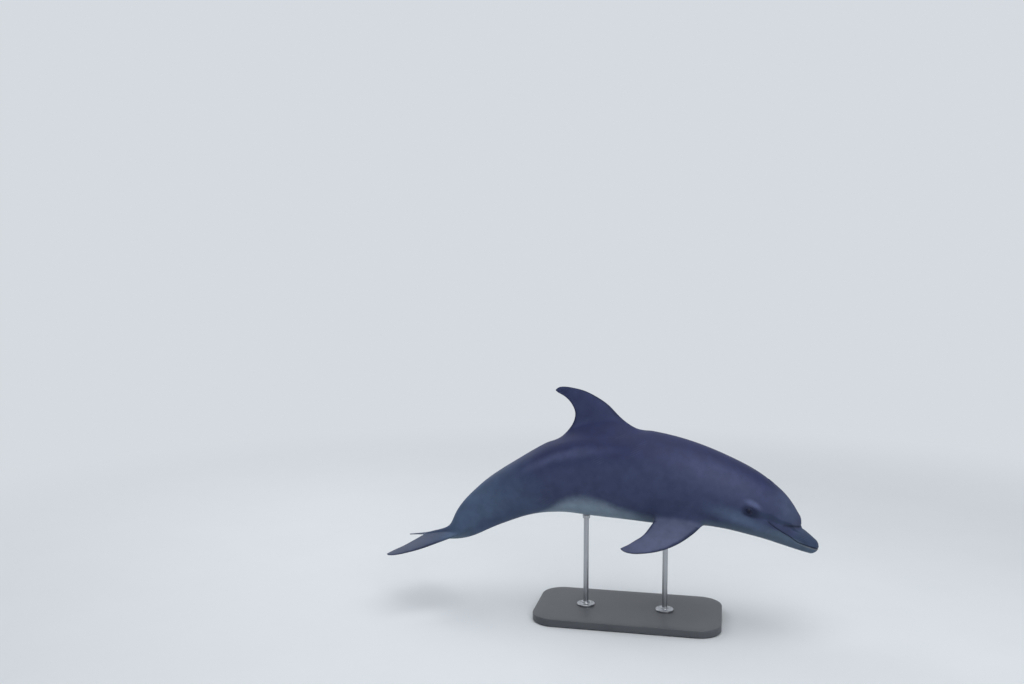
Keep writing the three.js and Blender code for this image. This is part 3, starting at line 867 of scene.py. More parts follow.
@dataclass
class BodyForm:
    """Streamlined body swept along a bent spine, as functions of share and angle.

    The share s runs along the spine from the beak (0) to the end of the tail stock (1). The angle
    t in degrees runs round a section: 0 on the back, 90 on the left flank, -90 on the right one.
    Lengths and radii are in metres, and the pitch of the spine is in degrees.
    """

    length: float = 1.3
    beak_tip: Pair = (0.633, -0.162)
    nose_radius: float = 0.014
    nose_start: float = 0.003
    pitch: Table = (
        (0, -28), (0.12, -31), (0.24, -18), (0.38, -7), (0.52, 3), (0.66, 18), (0.8, 34), (0.9, 35),
        (0.95, 6), (1, 0),
    )
    back: Table = (
        (0, 0.0155), (0.02, 0.0235), (0.046, 0.03), (0.058, 0.033), (0.07, 0.054), (0.085, 0.066),
        (0.115, 0.085), (0.17, 0.104), (0.26, 0.122), (0.38, 0.142), (0.5, 0.149), (0.6, 0.131),
        (0.7, 0.098), (0.8, 0.08), (0.88, 0.058), (0.93, 0.031), (0.95, 0.0255), (1, 0.015),
    )
    belly: Table = (
        (0, 0.015), (0.02, 0.0225), (0.06, 0.036), (0.1, 0.0495), (0.16, 0.071), (0.24, 0.092),
        (0.34, 0.122), (0.46, 0.127), (0.56, 0.116), (0.63, 0.097), (0.7, 0.08), (0.8, 0.059),
        (0.88, 0.0365), (0.93, 0.013), (0.95, 0.0065), (1, 0.003),
    )
    half_width: Table = (
        (0, 0.015), (0.02, 0.024), (0.06, 0.036), (0.1, 0.054), (0.16, 0.08), (0.25, 0.099),
        (0.36, 0.11), (0.5, 0.108), (0.62, 0.088), (0.74, 0.058), (0.85, 0.032), (0.92, 0.02), (1, 0.01),
    )
    fullness: Table = (
        (0, 2.3), (0.05, 2.2), (0.12, 2.1), (0.3, 2.1), (0.6, 2), (0.8, 1.7), (0.93, 1.6), (1, 1.8),
    )
    fold_sweep: float = 0.03
    fold_span: Span = (0.05, 0.07, 0.1, 0.13)
    fold_fade: float = 0.25
    chest_span: Pair = (0.2155, 0.44)
    samples: int = 2600
    coarse: int = 8
    locate_steps: int = 4
    feel_angle: float = 0.7
    feel_share: float = 0.001

    def __post_init__(self) -> None:
        """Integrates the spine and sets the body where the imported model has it."""
        names = ("pitch", "back", "belly", "half_width", "fullness")
        self.curves = {name: Smooth(getattr(self, name)) for name in names}
        self.at = np.linspace(0.0, 1.0, self.samples + 1)
        middle = (self.at[1:] + self.at[:-1]) / 2
        angle = np.radians(self.curves["pitch"](middle))
        step = self.length / self.samples
        self.spine_x = self.beak_tip[0] - np.r_[0.0, np.cumsum(np.cos(angle)) * step]
        self.spine_z = self.beak_tip[1] - np.r_[0.0, np.cumsum(np.sin(angle)) * step]
        self.origin = np.zeros(3)
        chest = self.surface(np.linspace(*self.chest_span, 9)[:, None], np.arange(0, 360, 10)[None])
        low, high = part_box("chest")
        self.origin = np.array([
            (low[0] + high[0] - chest[..., 0].min() - chest[..., 0].max()) / 2,
            0.0,
            (low[2] + high[2] - chest[..., 2].min() - chest[..., 2].max()) / 2,
        ])

    def spine(self, s: Array) -> tuple[Array, Array, Array]:
        """Point, forward direction and upward direction of the spine.

        Args:
            s: shares.

        Returns:
            Three arrays with x, y and z last.
        """
        s = np.asarray(s, float)
        inside = np.clip(s, 0.0, 1.0)
        a = np.radians(self.curves["pitch"](inside))
        zero = np.zeros_like(a)
        forward = np.stack([np.cos(a), zero, np.sin(a)], -1)
        up = np.stack([-np.sin(a), zero, np.cos(a)], -1)
        x = np.interp(inside, self.at, self.spine_x)
        z = np.interp(inside, self.at, self.spine_z)
        point = np.stack([x, zero, z], -1) + self.origin
        point -= forward * ((s - inside) * self.length)[..., None]
        return point, forward, up

    def extents(self, s: Array, t: Array) -> tuple[Array, Array, Array]:
        """Height, half width and section power at a share and angle.

        Args:
            s: shares.
            t: angles.

        Returns:
            Height towards the angle's half, half width, and exponent of the section.
        """
        side = np.sin(np.radians(t))
        top = np.cos(np.radians(t))
        along = (s - self.nose_start) * self.length
        inner = np.clip(1.0 - along / self.nose_radius, 0.0, 1.0)
        rounding = np.sqrt(1.0 - inner**2)
        sweep = window(s, self.fold_span)
        swept = s - self.fold_sweep * side**2 * sweep * np.maximum(top, 0.0) ** self.fold_fade
        height = np.where(top >= 0.0, self.curves["back"](swept), self.curves["belly"](s)) * rounding
        return height, self.curves["half_width"](s) * rounding, self.curves["fullness"](s)

    def surface(self, s: Array, t: Array) -> Array:
        """Points of the body's surface.

        Args:
            s: shares.
            t: angles.

        Returns:
            Points with x, y and z last.
        """
        s, t = np.broadcast_arrays(s, t)
        height, half, power = self.extents(s, t)
        point, _, up = self.spine(s)
        point = point + up * (height * superellipse(np.cos(np.radians(t)), power))[..., None]
        point[..., 1] += half * superellipse(np.sin(np.radians(t)), power)
        return point

    def outward(self, s: Array, t: Array) -> Array:
        """Outward directions of the surface.

        Args:
            s: shares.
            t: angles.

        Returns:
            Unit directions with x, y and z last.
        """
        s, t = np.broadcast_arrays(s, t)
        across = self.surface(s, t + self.feel_angle) - self.surface(s, t - self.feel_angle)
        along = self.surface(s + self.feel_share, t) - self.surface(s - self.feel_share, t)
        return unit(np.cross(across, along))

    def rise(self, s: Array, t: Array) -> Array:
        """Height of the surface above the spine at shares and angles."""
        height, _, power = self.extents(s, t)
        return height * superellipse(np.cos(np.radians(t)), power)

    def locate(self, points: Array) -> tuple[Array, Array, Array]:
        """Share, angle and relative radius of points in space.

        Args:
            points: points with x, y and z last.

        Returns:
            Shares, angles in degrees, and radius, which is 1 on the surface and less inside.
        """
        p = np.asarray(points, float) - self.origin
        flat = p.reshape(-1, 3)
        spine_x, spine_z = self.spine_x[::self.coarse], self.spine_z[::self.coarse]
        away = (flat[:, None, 0] - spine_x[None]) ** 2 + (flat[:, None, 2] - spine_z[None]) ** 2
        s = self.at[::self.coarse][away.argmin(1)]
        for _ in range(self.locate_steps):
            centre, forward, _ = self.spine(s)
            s = s - np.einsum("ij,ij->i", flat + self.origin - centre, forward) / self.length
        centre, _, up = self.spine(s)
        h = np.einsum("ij,ij->i", flat + self.origin - centre, up)
        height, half, power = self.extents(s, np.where(h >= 0, 1.0, 179.0))
        across = (np.abs(flat[:, 1]) / np.maximum(half, LEAST_SIZE)) ** power
        upright = (np.abs(h) / np.maximum(height, LEAST_SIZE)) ** power
        radius = (across + upright) ** (1.0 / power)
        t = np.degrees(np.arctan2(np.sqrt(across), np.sqrt(upright)))
        t = np.where(h >= 0, t, 180.0 - t) * np.where(flat[:, 1] >= 0, 1.0, -1.0)
        shape = p.shape[:-1]
        return s.reshape(shape), t.reshape(shape), radius.reshape(shape)


@dataclass
class FinForm:
    """Fin between a leading and a trailing edge in its own plane.

    The edges are (back, out) pairs from the fin's place, and root and tip are its thickness there,
    all in metres. Back and out are directions.
    """

    lead: Table
    trail: Table
    root: float
    tip: float
    place: Array
    back: Array
    out: Array
    edge: float = 0.0005
    taper: float = 1.4
    wing_peak: float = 0.385

    def __post_init__(self) -> None:
        """Sets up the edges and the fin's normal."""
        self.front_edge = Edge(self.lead)
        self.rear_edge = Edge(self.trail)
        normal = np.cross(self.back, self.out)
        self.normal = normal / np.linalg.norm(normal)

    def points(self, c: Array, t: Array, face: Array) -> Array:
        """Points on the fin.

        Args:
            c: shares of the chord from the leading edge.
            t: shares of the edges from root to tip.
            face: 1 on the normal's side, -1 on the other, 0 on the middle sheet.

        Returns:
            Points with x, y and z last.
        """
        c, t, face = np.broadcast_arrays(c, t, face)
        u0, v0 = self.front_edge(t)
        u1, v1 = self.rear_edge(t)
        u = u0 + (u1 - u0) * c
        v = v0 + (v1 - v0) * c
        half = (self.tip + (self.root - self.tip) * np.maximum(1 - t, 0.0) ** self.taper) / 2 - self.edge
        thick = half * np.sqrt(np.maximum(c, 0.0)) * (1 - c) / self.wing_peak + self.edge
        flat = self.place + u[..., None] * self.back + v[..., None] * self.out
        return flat + (face * thick)[..., None] * self.normal


@dataclass
class Anatomy:
    """Places and edges of the features on the body's form.

    Shares run along the spine, angles are in degrees and the rest is in metres. The mouth and the
    fold are heights over the spine. A fin's edges are (back, out) pairs, and its thickness is given
    at the root and at the tip.
    """

    mouth: Table = (
        (-0.02, 0.0058), (0, 0.0056), (0.008, 0.0048), (0.02, 0.0018), (0.035, -0.0016),
        (0.052, -0.0044), (0.077, -0.001), (0.1, 0.0005), (0.127, 0.0045), (0.14, 0.009),
    )
    mouth_corner: float = 0.134
    fold: Table = ((0.1, 0.019), (0.083, 0.027), (0.0665, 0.033), (0.0585, 0.042), (0.056, 0.06))
    eye_share: float = 0.1833
    eye_angle: float = 85.0
    eye_radius: float = 0.015
    eye_sunk: float = 0.01
    blowhole_share: float = 0.166
    dorsal_share: float = 0.5
    dorsal_thick: Pair = (0.027, 0.0034)
    dorsal_lead: Table = (
        (-0.118, 0.126), (-0.08, 0.146), (-0.06, 0.1565), (-0.038, 0.174), (0.01, 0.223),
        (0.043, 0.2445), (0.076, 0.2605), (0.109, 0.269), (0.132, 0.2725), (0.148, 0.2725),
        (0.1585, 0.269), (0.1635, 0.264),
    )
    dorsal_trail: Table = (
        (0.168, 0.105), (0.119, 0.15), (0.1055, 0.192), (0.118, 0.223), (0.136, 0.242), (0.151, 0.251),
        (0.1605, 0.2565), (0.1645, 0.261),
    )
    flipper_share: float = 0.32
    flipper_thick: Pair = (0.034, 0.0045)
    flipper_drop: float = 0.095
    flipper_aside: float = 0.08
    flipper_droop: float = 36.0
    flipper_lead: Table = (
        (-0.074, -0.045), (-0.058, -0.005), (-0.037, 0.032), (0.002, 0.082), (0.044, 0.117),
        (0.087, 0.139), (0.112, 0.1475), (0.13, 0.149), (0.141, 0.147), (0.1475, 0.1425),
    )
    flipper_trail: Table = (
        (0.066, -0.045), (0.07, -0.01), (0.081, 0.031), (0.099, 0.079), (0.118, 0.104), (0.132, 0.122),
        (0.143, 0.133), (0.149, 0.1395),
    )
    fluke_share: float = 0.95
    fluke_thick: Pair = (0.025, 0.0032)
    fluke_lift: float = 0.011
    fluke_pitch: float = 6.0
    fluke_droop: float = 14.6
    fluke_lead: Table = (
        (-0.068, -0.008), (-0.045, 0.022), (-0.028, 0.0375), (-0.009, 0.051), (0.024, 0.0775),
        (0.05, 0.096), (0.083, 0.1125), (0.113, 0.1235), (0.133, 0.126), (0.143, 0.124),
        (0.1485, 0.1185),
    )
    fluke_trail: Table = (
        (0.065, -0.008), (0.071, 0.015), (0.093, 0.0495), (0.1135, 0.076), (0.13, 0.092),
        (0.1425, 0.107), (0.149, 0.1155),
    )
    # The chord of the flukes at the tail's middle line, which the tail's end thins into.
    fluke_root: Pair = (-0.062, 0.0672)
    tail_end: float = 1.0012
    tail_point: float = 0.0006
    tail_blend: Pair = (0.945, 0.99)
    tail_half_width: float = 0.007
    tail_front_widening: float = 0.004

    def mouth_rise(self, s: Array) -> Array:
        """Height of the mouth line over the spine, in metres."""
        return Smooth(self.mouth)(s)

    def dorsal(self, body: BodyForm) -> FinForm:
        """The dorsal fin on the middle line of the back."""
        point, forward, up = body.spine(np.array(self.dorsal_share))
        return FinForm(self.dorsal_lead, self.dorsal_trail, *self.dorsal_thick, point, -forward, up)

    def flipper(self, body: BodyForm, side: Side) -> FinForm:
        """The flipper of one side.

        Args:
            body: the body's form.
            side: the side.

        Returns:
            The flipper's form, which starts inside the body.
        """
        point, forward, up = body.spine(np.array(self.flipper_share))
        droop = math.radians(self.flipper_droop)
        out = np.array([0.0, side.value * math.cos(droop), 0.0]) - up * math.sin(droop)
        place = point - up * self.flipper_drop
        place[1] = side.value * self.flipper_aside
        return FinForm(self.flipper_lead, self.flipper_trail, *self.flipper_thick, place, -forward, out)

    def fluke(self, body: BodyForm, side: Side) -> FinForm:
        """The fluke of one side.

        Args:
            body: the body's form.
            side: the side.

        Returns:
            The fluke's form, which starts inside the tail.
        """
        point, _, _ = body.spine(np.array(self.fluke_share))
        pitch, droop = math.radians(self.fluke_pitch), math.radians(self.fluke_droop)
        place = point + np.array([0.0, 0.0, self.fluke_lift])
        back = np.array([-math.cos(pitch), 0.0, -math.sin(pitch)])
        out = np.array([0.0, side.value * math.cos(droop), -math.sin(droop)])
        return FinForm(self.fluke_lead, self.fluke_trail, *self.fluke_thick, place, back, out)


@dataclass
class SkinRelief:
    """Fine forms pressed into the skin: mouth, lips, fold, brow, slits and navel.

    Each form is a depth or height, then its middle and half widths, and an end or span is where it
    fades. Metres, shares, and degrees, which count from the belly's middle for the forms there.
    """

    body: BodyForm
    anatomy: Anatomy
    flank: Span = (45.0, 65.0, 115.0, 135.0)
    nose_span: Pair = (0.008, 0.02)
    mouth: Pair = (0.0026, 0.0011)
    mouth_end: Pair = (-0.006, 0.003)
    lips: Triple = (0.0007, 0.0036, 0.0022)
    corner: Span = (0.001, 0.004, 0.006, 0.005)
    fold: Pair = (0.0019, 0.0021)
    fold_end: Pair = (0.082, 0.106)
    brow: float = 0.0012
    brow_offset: Pair = (-0.004, -17.0)
    brow_width: Pair = (0.02, 9.0)
    slit: Pair = (0.0022, 1.6)
    slit_lips: Triple = (0.0008, 4.0, 2.5)
    slit_span: Span = (0.612, 0.624, 0.65, 0.662)
    # The mammary slits and the navel: share and angle, half widths of both, and depth.
    hollows: tuple[tuple[float, ...], ...] = (
        (0.634, 7.0, 0.0035, 1.3, 0.0009), (0.646, 7.0, 0.0035, 1.3, 0.0009),
        (0.525, 0.0, 0.0035, 2.6, 0.0012),
    )
    # Width and end of the painted shade along the mouth line.
    crease_shade_width: float = 0.0013
    crease_shade_end: float = 0.004
    # Tone and width of the painted shade along the melon's fold, and where it fades.
    fold_shade: Pair = (0.8, 0.0034)
    fold_shade_end: Pair = (0.09, 0.115)
    lip_line: Pair = (-0.0034, 0.0019)
    lip_line_end: Pair = (0.02, 0.085)

    def height(self, s: Array, t: Array) -> Array:
        """Height of the fine forms over the body's smooth surface.

        Args:
            s: shares.
            t: angles, without their side.

        Returns:
            Outward heights in metres.
        """
        place = self.anatomy
        rise = self.body.rise(s, t)
        off = rise - place.mouth_rise(s)
        under = 180.0 - t
        flank = np.maximum(window(t, self.flank), 1 - smoothstep(s, *self.nose_span))
        end = place.mouth_corner
        fade = flank * (1 - smoothstep(s, end + self.mouth_end[0], end + self.mouth_end[1]))
        height = -self.mouth[0] * bump(off, 0.0, self.mouth[1]) * fade
        height += self.lips[0] * bump(np.abs(off), *self.lips[1:]) * fade
        depth, back, along, across = self.corner
        height -= depth * bump(s, end + back, along) * bump(off, 0.0, across) * flank
        behind = 1.0 - smoothstep(s, *self.fold_end)
        height -= self.fold[0] * bump(self.fold_distance(s, rise), 0.0, self.fold[1]) * behind
        brow = self.brow * bump(s, place.eye_share + self.brow_offset[0], self.brow_width[0])
        height += brow * bump(t, place.eye_angle + self.brow_offset[1], self.brow_width[1])
        slit = window(s, self.slit_span)
        height -= self.slit[0] * slit * bump(under, 0.0, self.slit[1])
        height += self.slit_lips[0] * slit * bump(under, *self.slit_lips[1:])
        for share, angle, along, across, depth in self.hollows:
            height -= depth * bump(s, share, along) * bump(under, angle, across)
        return height

    def lines(self, s: Array, t: Array) -> tuple[Array, Array]:
        """Masks of the painted shade in the mouth line and the melon's fold, and of the pale lip below the
        mouth line.

        Args:
            s: shares.
            t: angles, without their side.

        Returns:
            The mask of painted shade in the creases, and the lip mask.
        """
        end = self.anatomy.mouth_corner
        rise = self.body.rise(s, t)
        off = rise - self.anatomy.mouth_rise(s)
        along = 1 - smoothstep(s, end - self.crease_shade_end, end + self.crease_shade_end)
        tone, width = self.fold_shade
        fold = bump(self.fold_distance(s, rise), 0.0, width) * (1.0 - smoothstep(s, *self.fold_shade_end))
        crease_shade = np.maximum(bump(off, 0.0, self.crease_shade_width) * along, tone * fold)
        lip = bump(off, *self.lip_line) * (1 - smoothstep(s, *self.lip_line_end))
        return crease_shade, lip

    def fold_distance(self, s: Array, rise: Array) -> Array:
        """Distance from the fold between melon and beak, measured along the flank.

        Args:
            s: shares.
            rise: heights above the spine.

        Returns:
            Distances in metres.
        """
        line = np.array(self.anatomy.fold) * (self.body.length, 1.0)
        p = np.stack([s * self.body.length, rise], -1)
        best = np.full(s.shape, 1.0)
        for a, b in zip(line[:-1], line[1:]):
            share = np.clip(((p - a) @ (b - a)) / ((b - a) @ (b - a)), 0.0, 1.0)
            best = np.minimum(best, np.linalg.norm(p - a - share[..., None] * (b - a), axis=-1))
        return best


# ---- the skin's mesh


@dataclass
class Hole:
    """Quads between two rings and two columns of the grid, whose rim carries loops of points."""

    first: int
    last: int
    left: int
    right: int

    def rim(self) -> list[tuple[int, int]]:
        """Grid places round the hole.

        Returns:
            Ring and column of each place, from the middle of the first ring towards higher columns.
        """
        first, last = self.first, self.last
        left, right = self.left, self.right
        middle = (left + right) // 2
        places = [(first, j) for j in range(middle, right)]
        places += [(i, right) for i in range(first, last)]
        places += [(last, j) for j in range(right, left, -1)]
        places += [(i, left) for i in range(last, first, -1)]
        return places + [(first, j) for j in range(left, middle)]

    def offsets(self) -> Array:
        """Rings and columns from the hole's middle to each place of its rim."""
        middle = ((self.first + self.last) / 2, (self.left + self.right) / 2)
        return np.array(self.rim(), float).T - np.array(middle)[:, None]


@dataclass
class SkinGrid:
    """Grid of rings and columns over the body, opened for the fins, eyes and blowhole.

    Steps between rings are in metres. Ends, starts and spans are shares, angles are in degrees.
    """

    body: BodyForm
    anatomy: Anatomy
    columns: int = 64
    nose_turns: tuple[int, ...] = (14, 26, 38, 52, 66, 80, 92)
    head_step: float = 0.003
    body_step: float = 0.0075
    tail_step: float = 0.004
    head_end: float = 0.215
    tail_start: float = 0.895
    relax_steps: int = 240
    mouth_start: float = 0.016
    mouth_fade: float = 0.05
    mouth_reach: float = 38.0
    pinch: float = 0.45
    pinch_reach: float = 13.0
    pinch_end: Pair = (0.1, 0.17)
    holes: list[Hole] = field(default_factory=list)
    seams: list[int] = field(default_factory=list)
    points: list[Array] = field(default_factory=list)
    facts: list[Array] = field(default_factory=list)
    faces: list[tuple[int, ...]] = field(default_factory=list)

    def __post_init__(self) -> None:
        """Lays out the share and angle of every place."""
        shares = self._stations()
        angles = -180.0 + 360.0 * np.arange(self.columns) / self.columns
        self.s = np.repeat(shares[:, None], self.columns, 1)
        self.t = np.repeat(angles[None], len(shares), 0)
        self._follow_mouth()

    def _stations(self) -> Array:
        """Shares of the rings: close round the nose and head, wider on the trunk.

        Returns:
            The shares in rising order.
        """
        body = self.body
        turn = np.radians(self.nose_turns)
        nose = body.nose_start + body.nose_radius * (1 - np.cos(turn)) / body.length
        parts = [nose]
        at = nose[-1]
        ends = (self.head_end, self.tail_start, self.anatomy.tail_end)
        for end, step in zip(ends, (self.head_step, self.body_step, self.tail_step)):
            count = max(2, round((end - at) * body.length / step))
            parts.append(np.linspace(at, end, count + 1)[1:])
            at = end
        return np.concatenate(parts)

    def _follow_mouth(self) -> None:
        """Turns the columns so that one on each side runs along the mouth line."""
        s, t = self.s, self.t
        mouth = self.anatomy.mouth_rise(s)
        height = self.body.extents(s, np.where(mouth >= 0, 80.0, 100.0))[0]
        power = self.body.curves["fullness"](s)
        share = np.clip(mouth / np.maximum(height, LEAST_SIZE), -0.8, 0.8)
        line = 90.0 - np.degrees(np.arcsin(np.sign(share) * np.abs(share) ** (power / 2)))
        corner = self.anatomy.mouth_corner
        fade = 1.0 - smoothstep(s, corner, corner + self.mouth_fade)
        fade = fade * smoothstep(s, self.body.nose_start, self.mouth_start)
        away = np.abs(t) - 90.0
        shift = (line - 90.0) * bump(away, 0.0, self.mouth_reach)
        pinch = -away * self.pinch * bump(away, 0.0, self.pinch_reach) * (1 - smoothstep(s, *self.pinch_end))
        self.t = t + np.sign(t) * (shift * fade + pinch)

    def ring_at(self, share: float) -> int:
        """Number of the ring nearest to a share of the spine."""
        return int(np.abs(self.s[:, 0] - share).argmin())

    def column_at(self, angle: float) -> int:
        """Number of the column nearest to an angle."""
        return int(round((angle + 180.0) * self.columns / 360.0))

    def pin(self, hole: Hole, shares: Array, angles: Array, reach: tuple[int, int]) -> None:
        """Sets a hole's rim at places on the body and moves the grid round it along.

        Args:
            hole: the hole.
            shares: share of each rim place.
            angles: angle of each rim place.
            reach: rings and columns round it that may move.
        """
        low = max(hole.first - reach[0], 0)
        high = min(hole.last + reach[0], len(self.s) - 1)
        left = hole.left - reach[1]
        right = hole.right + reach[1]
        move = np.zeros((2, high - low + 1, right - left + 1))
        keep = np.ones(move.shape[1:], bool)
        keep[1:-1, 1:-1] = False
        keep[-1] = high < len(self.s) - 1
        keep[hole.first - low + 1:hole.last - low,
             hole.left - left + 1:hole.right - left] = True
        for (i, j), share, angle in zip(hole.rim(), shares, angles):
            move[:, i - low, j - left] = (share - self.s[i, j], angle - self.t[i, j])
            keep[i - low, j - left] = True
        for _ in range(self.relax_steps):
            wide = np.pad(move, ((0, 0), (1, 1), (1, 1)), mode="edge")
            mean = (wide[:, :-2, 1:-1] + wide[:, 2:, 1:-1] + wide[:, 1:-1, :-2] + wide[:, 1:-1, 2:]) / 4
            move = np.where(keep, move, mean)
        block = (slice(low, high + 1), slice(left, right + 1))
        self.s[block] += move[0]
        self.t[block] += move[1]
        self.holes.append(hole)

    def skin_point(self, s: Array, t: Array, lift: Array | float = 0.0) -> Array:
        """Points of the skin: the body's smooth surface, and the thin end of the tail.

        Args:
            s: shares.
            t: angles.
            lift: extra outward height.

        Returns:
            Points with x, y and z last.
        """
        lift = np.broadcast_to(lift, np.shape(s))
        skin = self.body.surface(s, t) + self.body.outward(s, t) * lift[..., None]
        place = self.anatomy
        weight = smoothstep(s, *place.tail_blend)
        fluke = place.fluke(self.body, Side.RIGHT)
        u = (s - place.fluke_share) * self.body.length
        front, rear = place.fluke_root
        chord = np.clip((u - front) / (rear - front), 0.0, 1.0)
        thick = (fluke.root / 2 - fluke.edge) * np.sqrt(chord) * (1 - chord) / fluke.wing_peak
        thick += 2 * fluke.edge
        a = np.radians(t)
        upward = np.cross(fluke.back, (0.0, -1.0, 0.0))
        web = fluke.place + u[..., None] * fluke.back + (thick * np.cos(a))[..., None] * upward
        out = (place.tail_half_width + place.tail_front_widening * (1 - chord)) * np.sin(a)
        web[..., 1] += out
        web[..., 2] -= np.abs(out) * math.tan(math.radians(place.fluke_droop))
        return skin + (web - skin) * weight[..., None]

    def build_grid(self) -> None:
        """Turns the grid into points and faces, leaving the holes open."""
        rows, columns = self.s.shape
        self.add_points(self.skin_point(self.s, self.t).reshape(-1, 3), self.s.ravel(), self.t.ravel())
        closed = np.ones((rows - 1, columns), bool)
        for hole in self.holes:
            closed[hole.first:hole.last, hole.left:hole.right] = False
        number = np.arange(rows * columns).reshape(rows, columns)
        after = np.roll(number, -1, 1)
        quads = np.stack([number[:-1], after[:-1], after[1:], number[1:]], -1)
        self.faces += [tuple(quad) for quad in quads[closed].tolist()]
        nose = self.skin_point(np.array([self.body.nose_start]), np.array([0.0]))
        end_s = np.array([self.anatomy.tail_end + self.anatomy.tail_point])
        end = self.skin_point(end_s, np.array([90.0])) * (1.0, 0.0, 1.0)
        pole = self.add_points(nose, np.array([self.body.nose_start]), np.array([90.0]))[0]
        tail = self.add_points(end, end_s, np.array([0.0]))[0]
        last = (rows - 1) * columns
        for a, b in zip(number[0], after[0]):
            self.faces += [(pole, b, a), (tail, last + a, last + b)]

    def add_points(self, points: Array, share: Array, turn: Array,
                   fin: Array | float = 0.0, edge: Array | float = 0.0) -> Array:
        """Adds points with the values that the skin's finish reads.

        Args:
            points: the points.
            share: share along the spine of each.
            turn: angle round the section of each, in degrees.
            fin: 0 on the body, up to 1 at a fin's tip.
            edge: 0 in the middle of a fin's chord, 1 at its edges.

        Returns:
            The numbers of the new points.
        """
        start = sum(len(block) for block in self.points)
        count = len(points)
        self.points.append(np.asarray(points, float))
        columns = [np.broadcast_to(value, count) for value in (share, np.abs(turn) / 180.0, fin, edge)]
        self.facts.append(np.stack(columns, -1))
        return np.arange(start, start + count)

    def rim_numbers(self, hole: Hole) -> Array:
        """Point numbers of a hole's rim."""
        return np.array([i * self.s.shape[1] + j for i, j in hole.rim()])

    def add_loop(self, outer: Array, *values: Array | float) -> Array:
        """Adds a loop of points and the band of faces that joins it to the loop outside it.

        Args:
            outer: point numbers of the loop outside it.
            values: the points and their values, as add_points takes them.

        Returns:
            The numbers of the new points.
        """
        inner = self.add_points(*values)
        corners = np.stack([outer, np.roll(outer, -1), np.roll(inner, -1), inner], -1)
        self.faces += [tuple(face) for face in corners.tolist()]
        return inner


@dataclass
class Growth:
    """Feature that grows out of a hole in the skin's grid."""

    grid: SkinGrid
    hole: Hole = field(init=False)

    def open(self) -> None:
        """Opens the hole and pins its rim."""

    def grow(self) -> None:
        """Adds the feature's loops and closes the last one."""


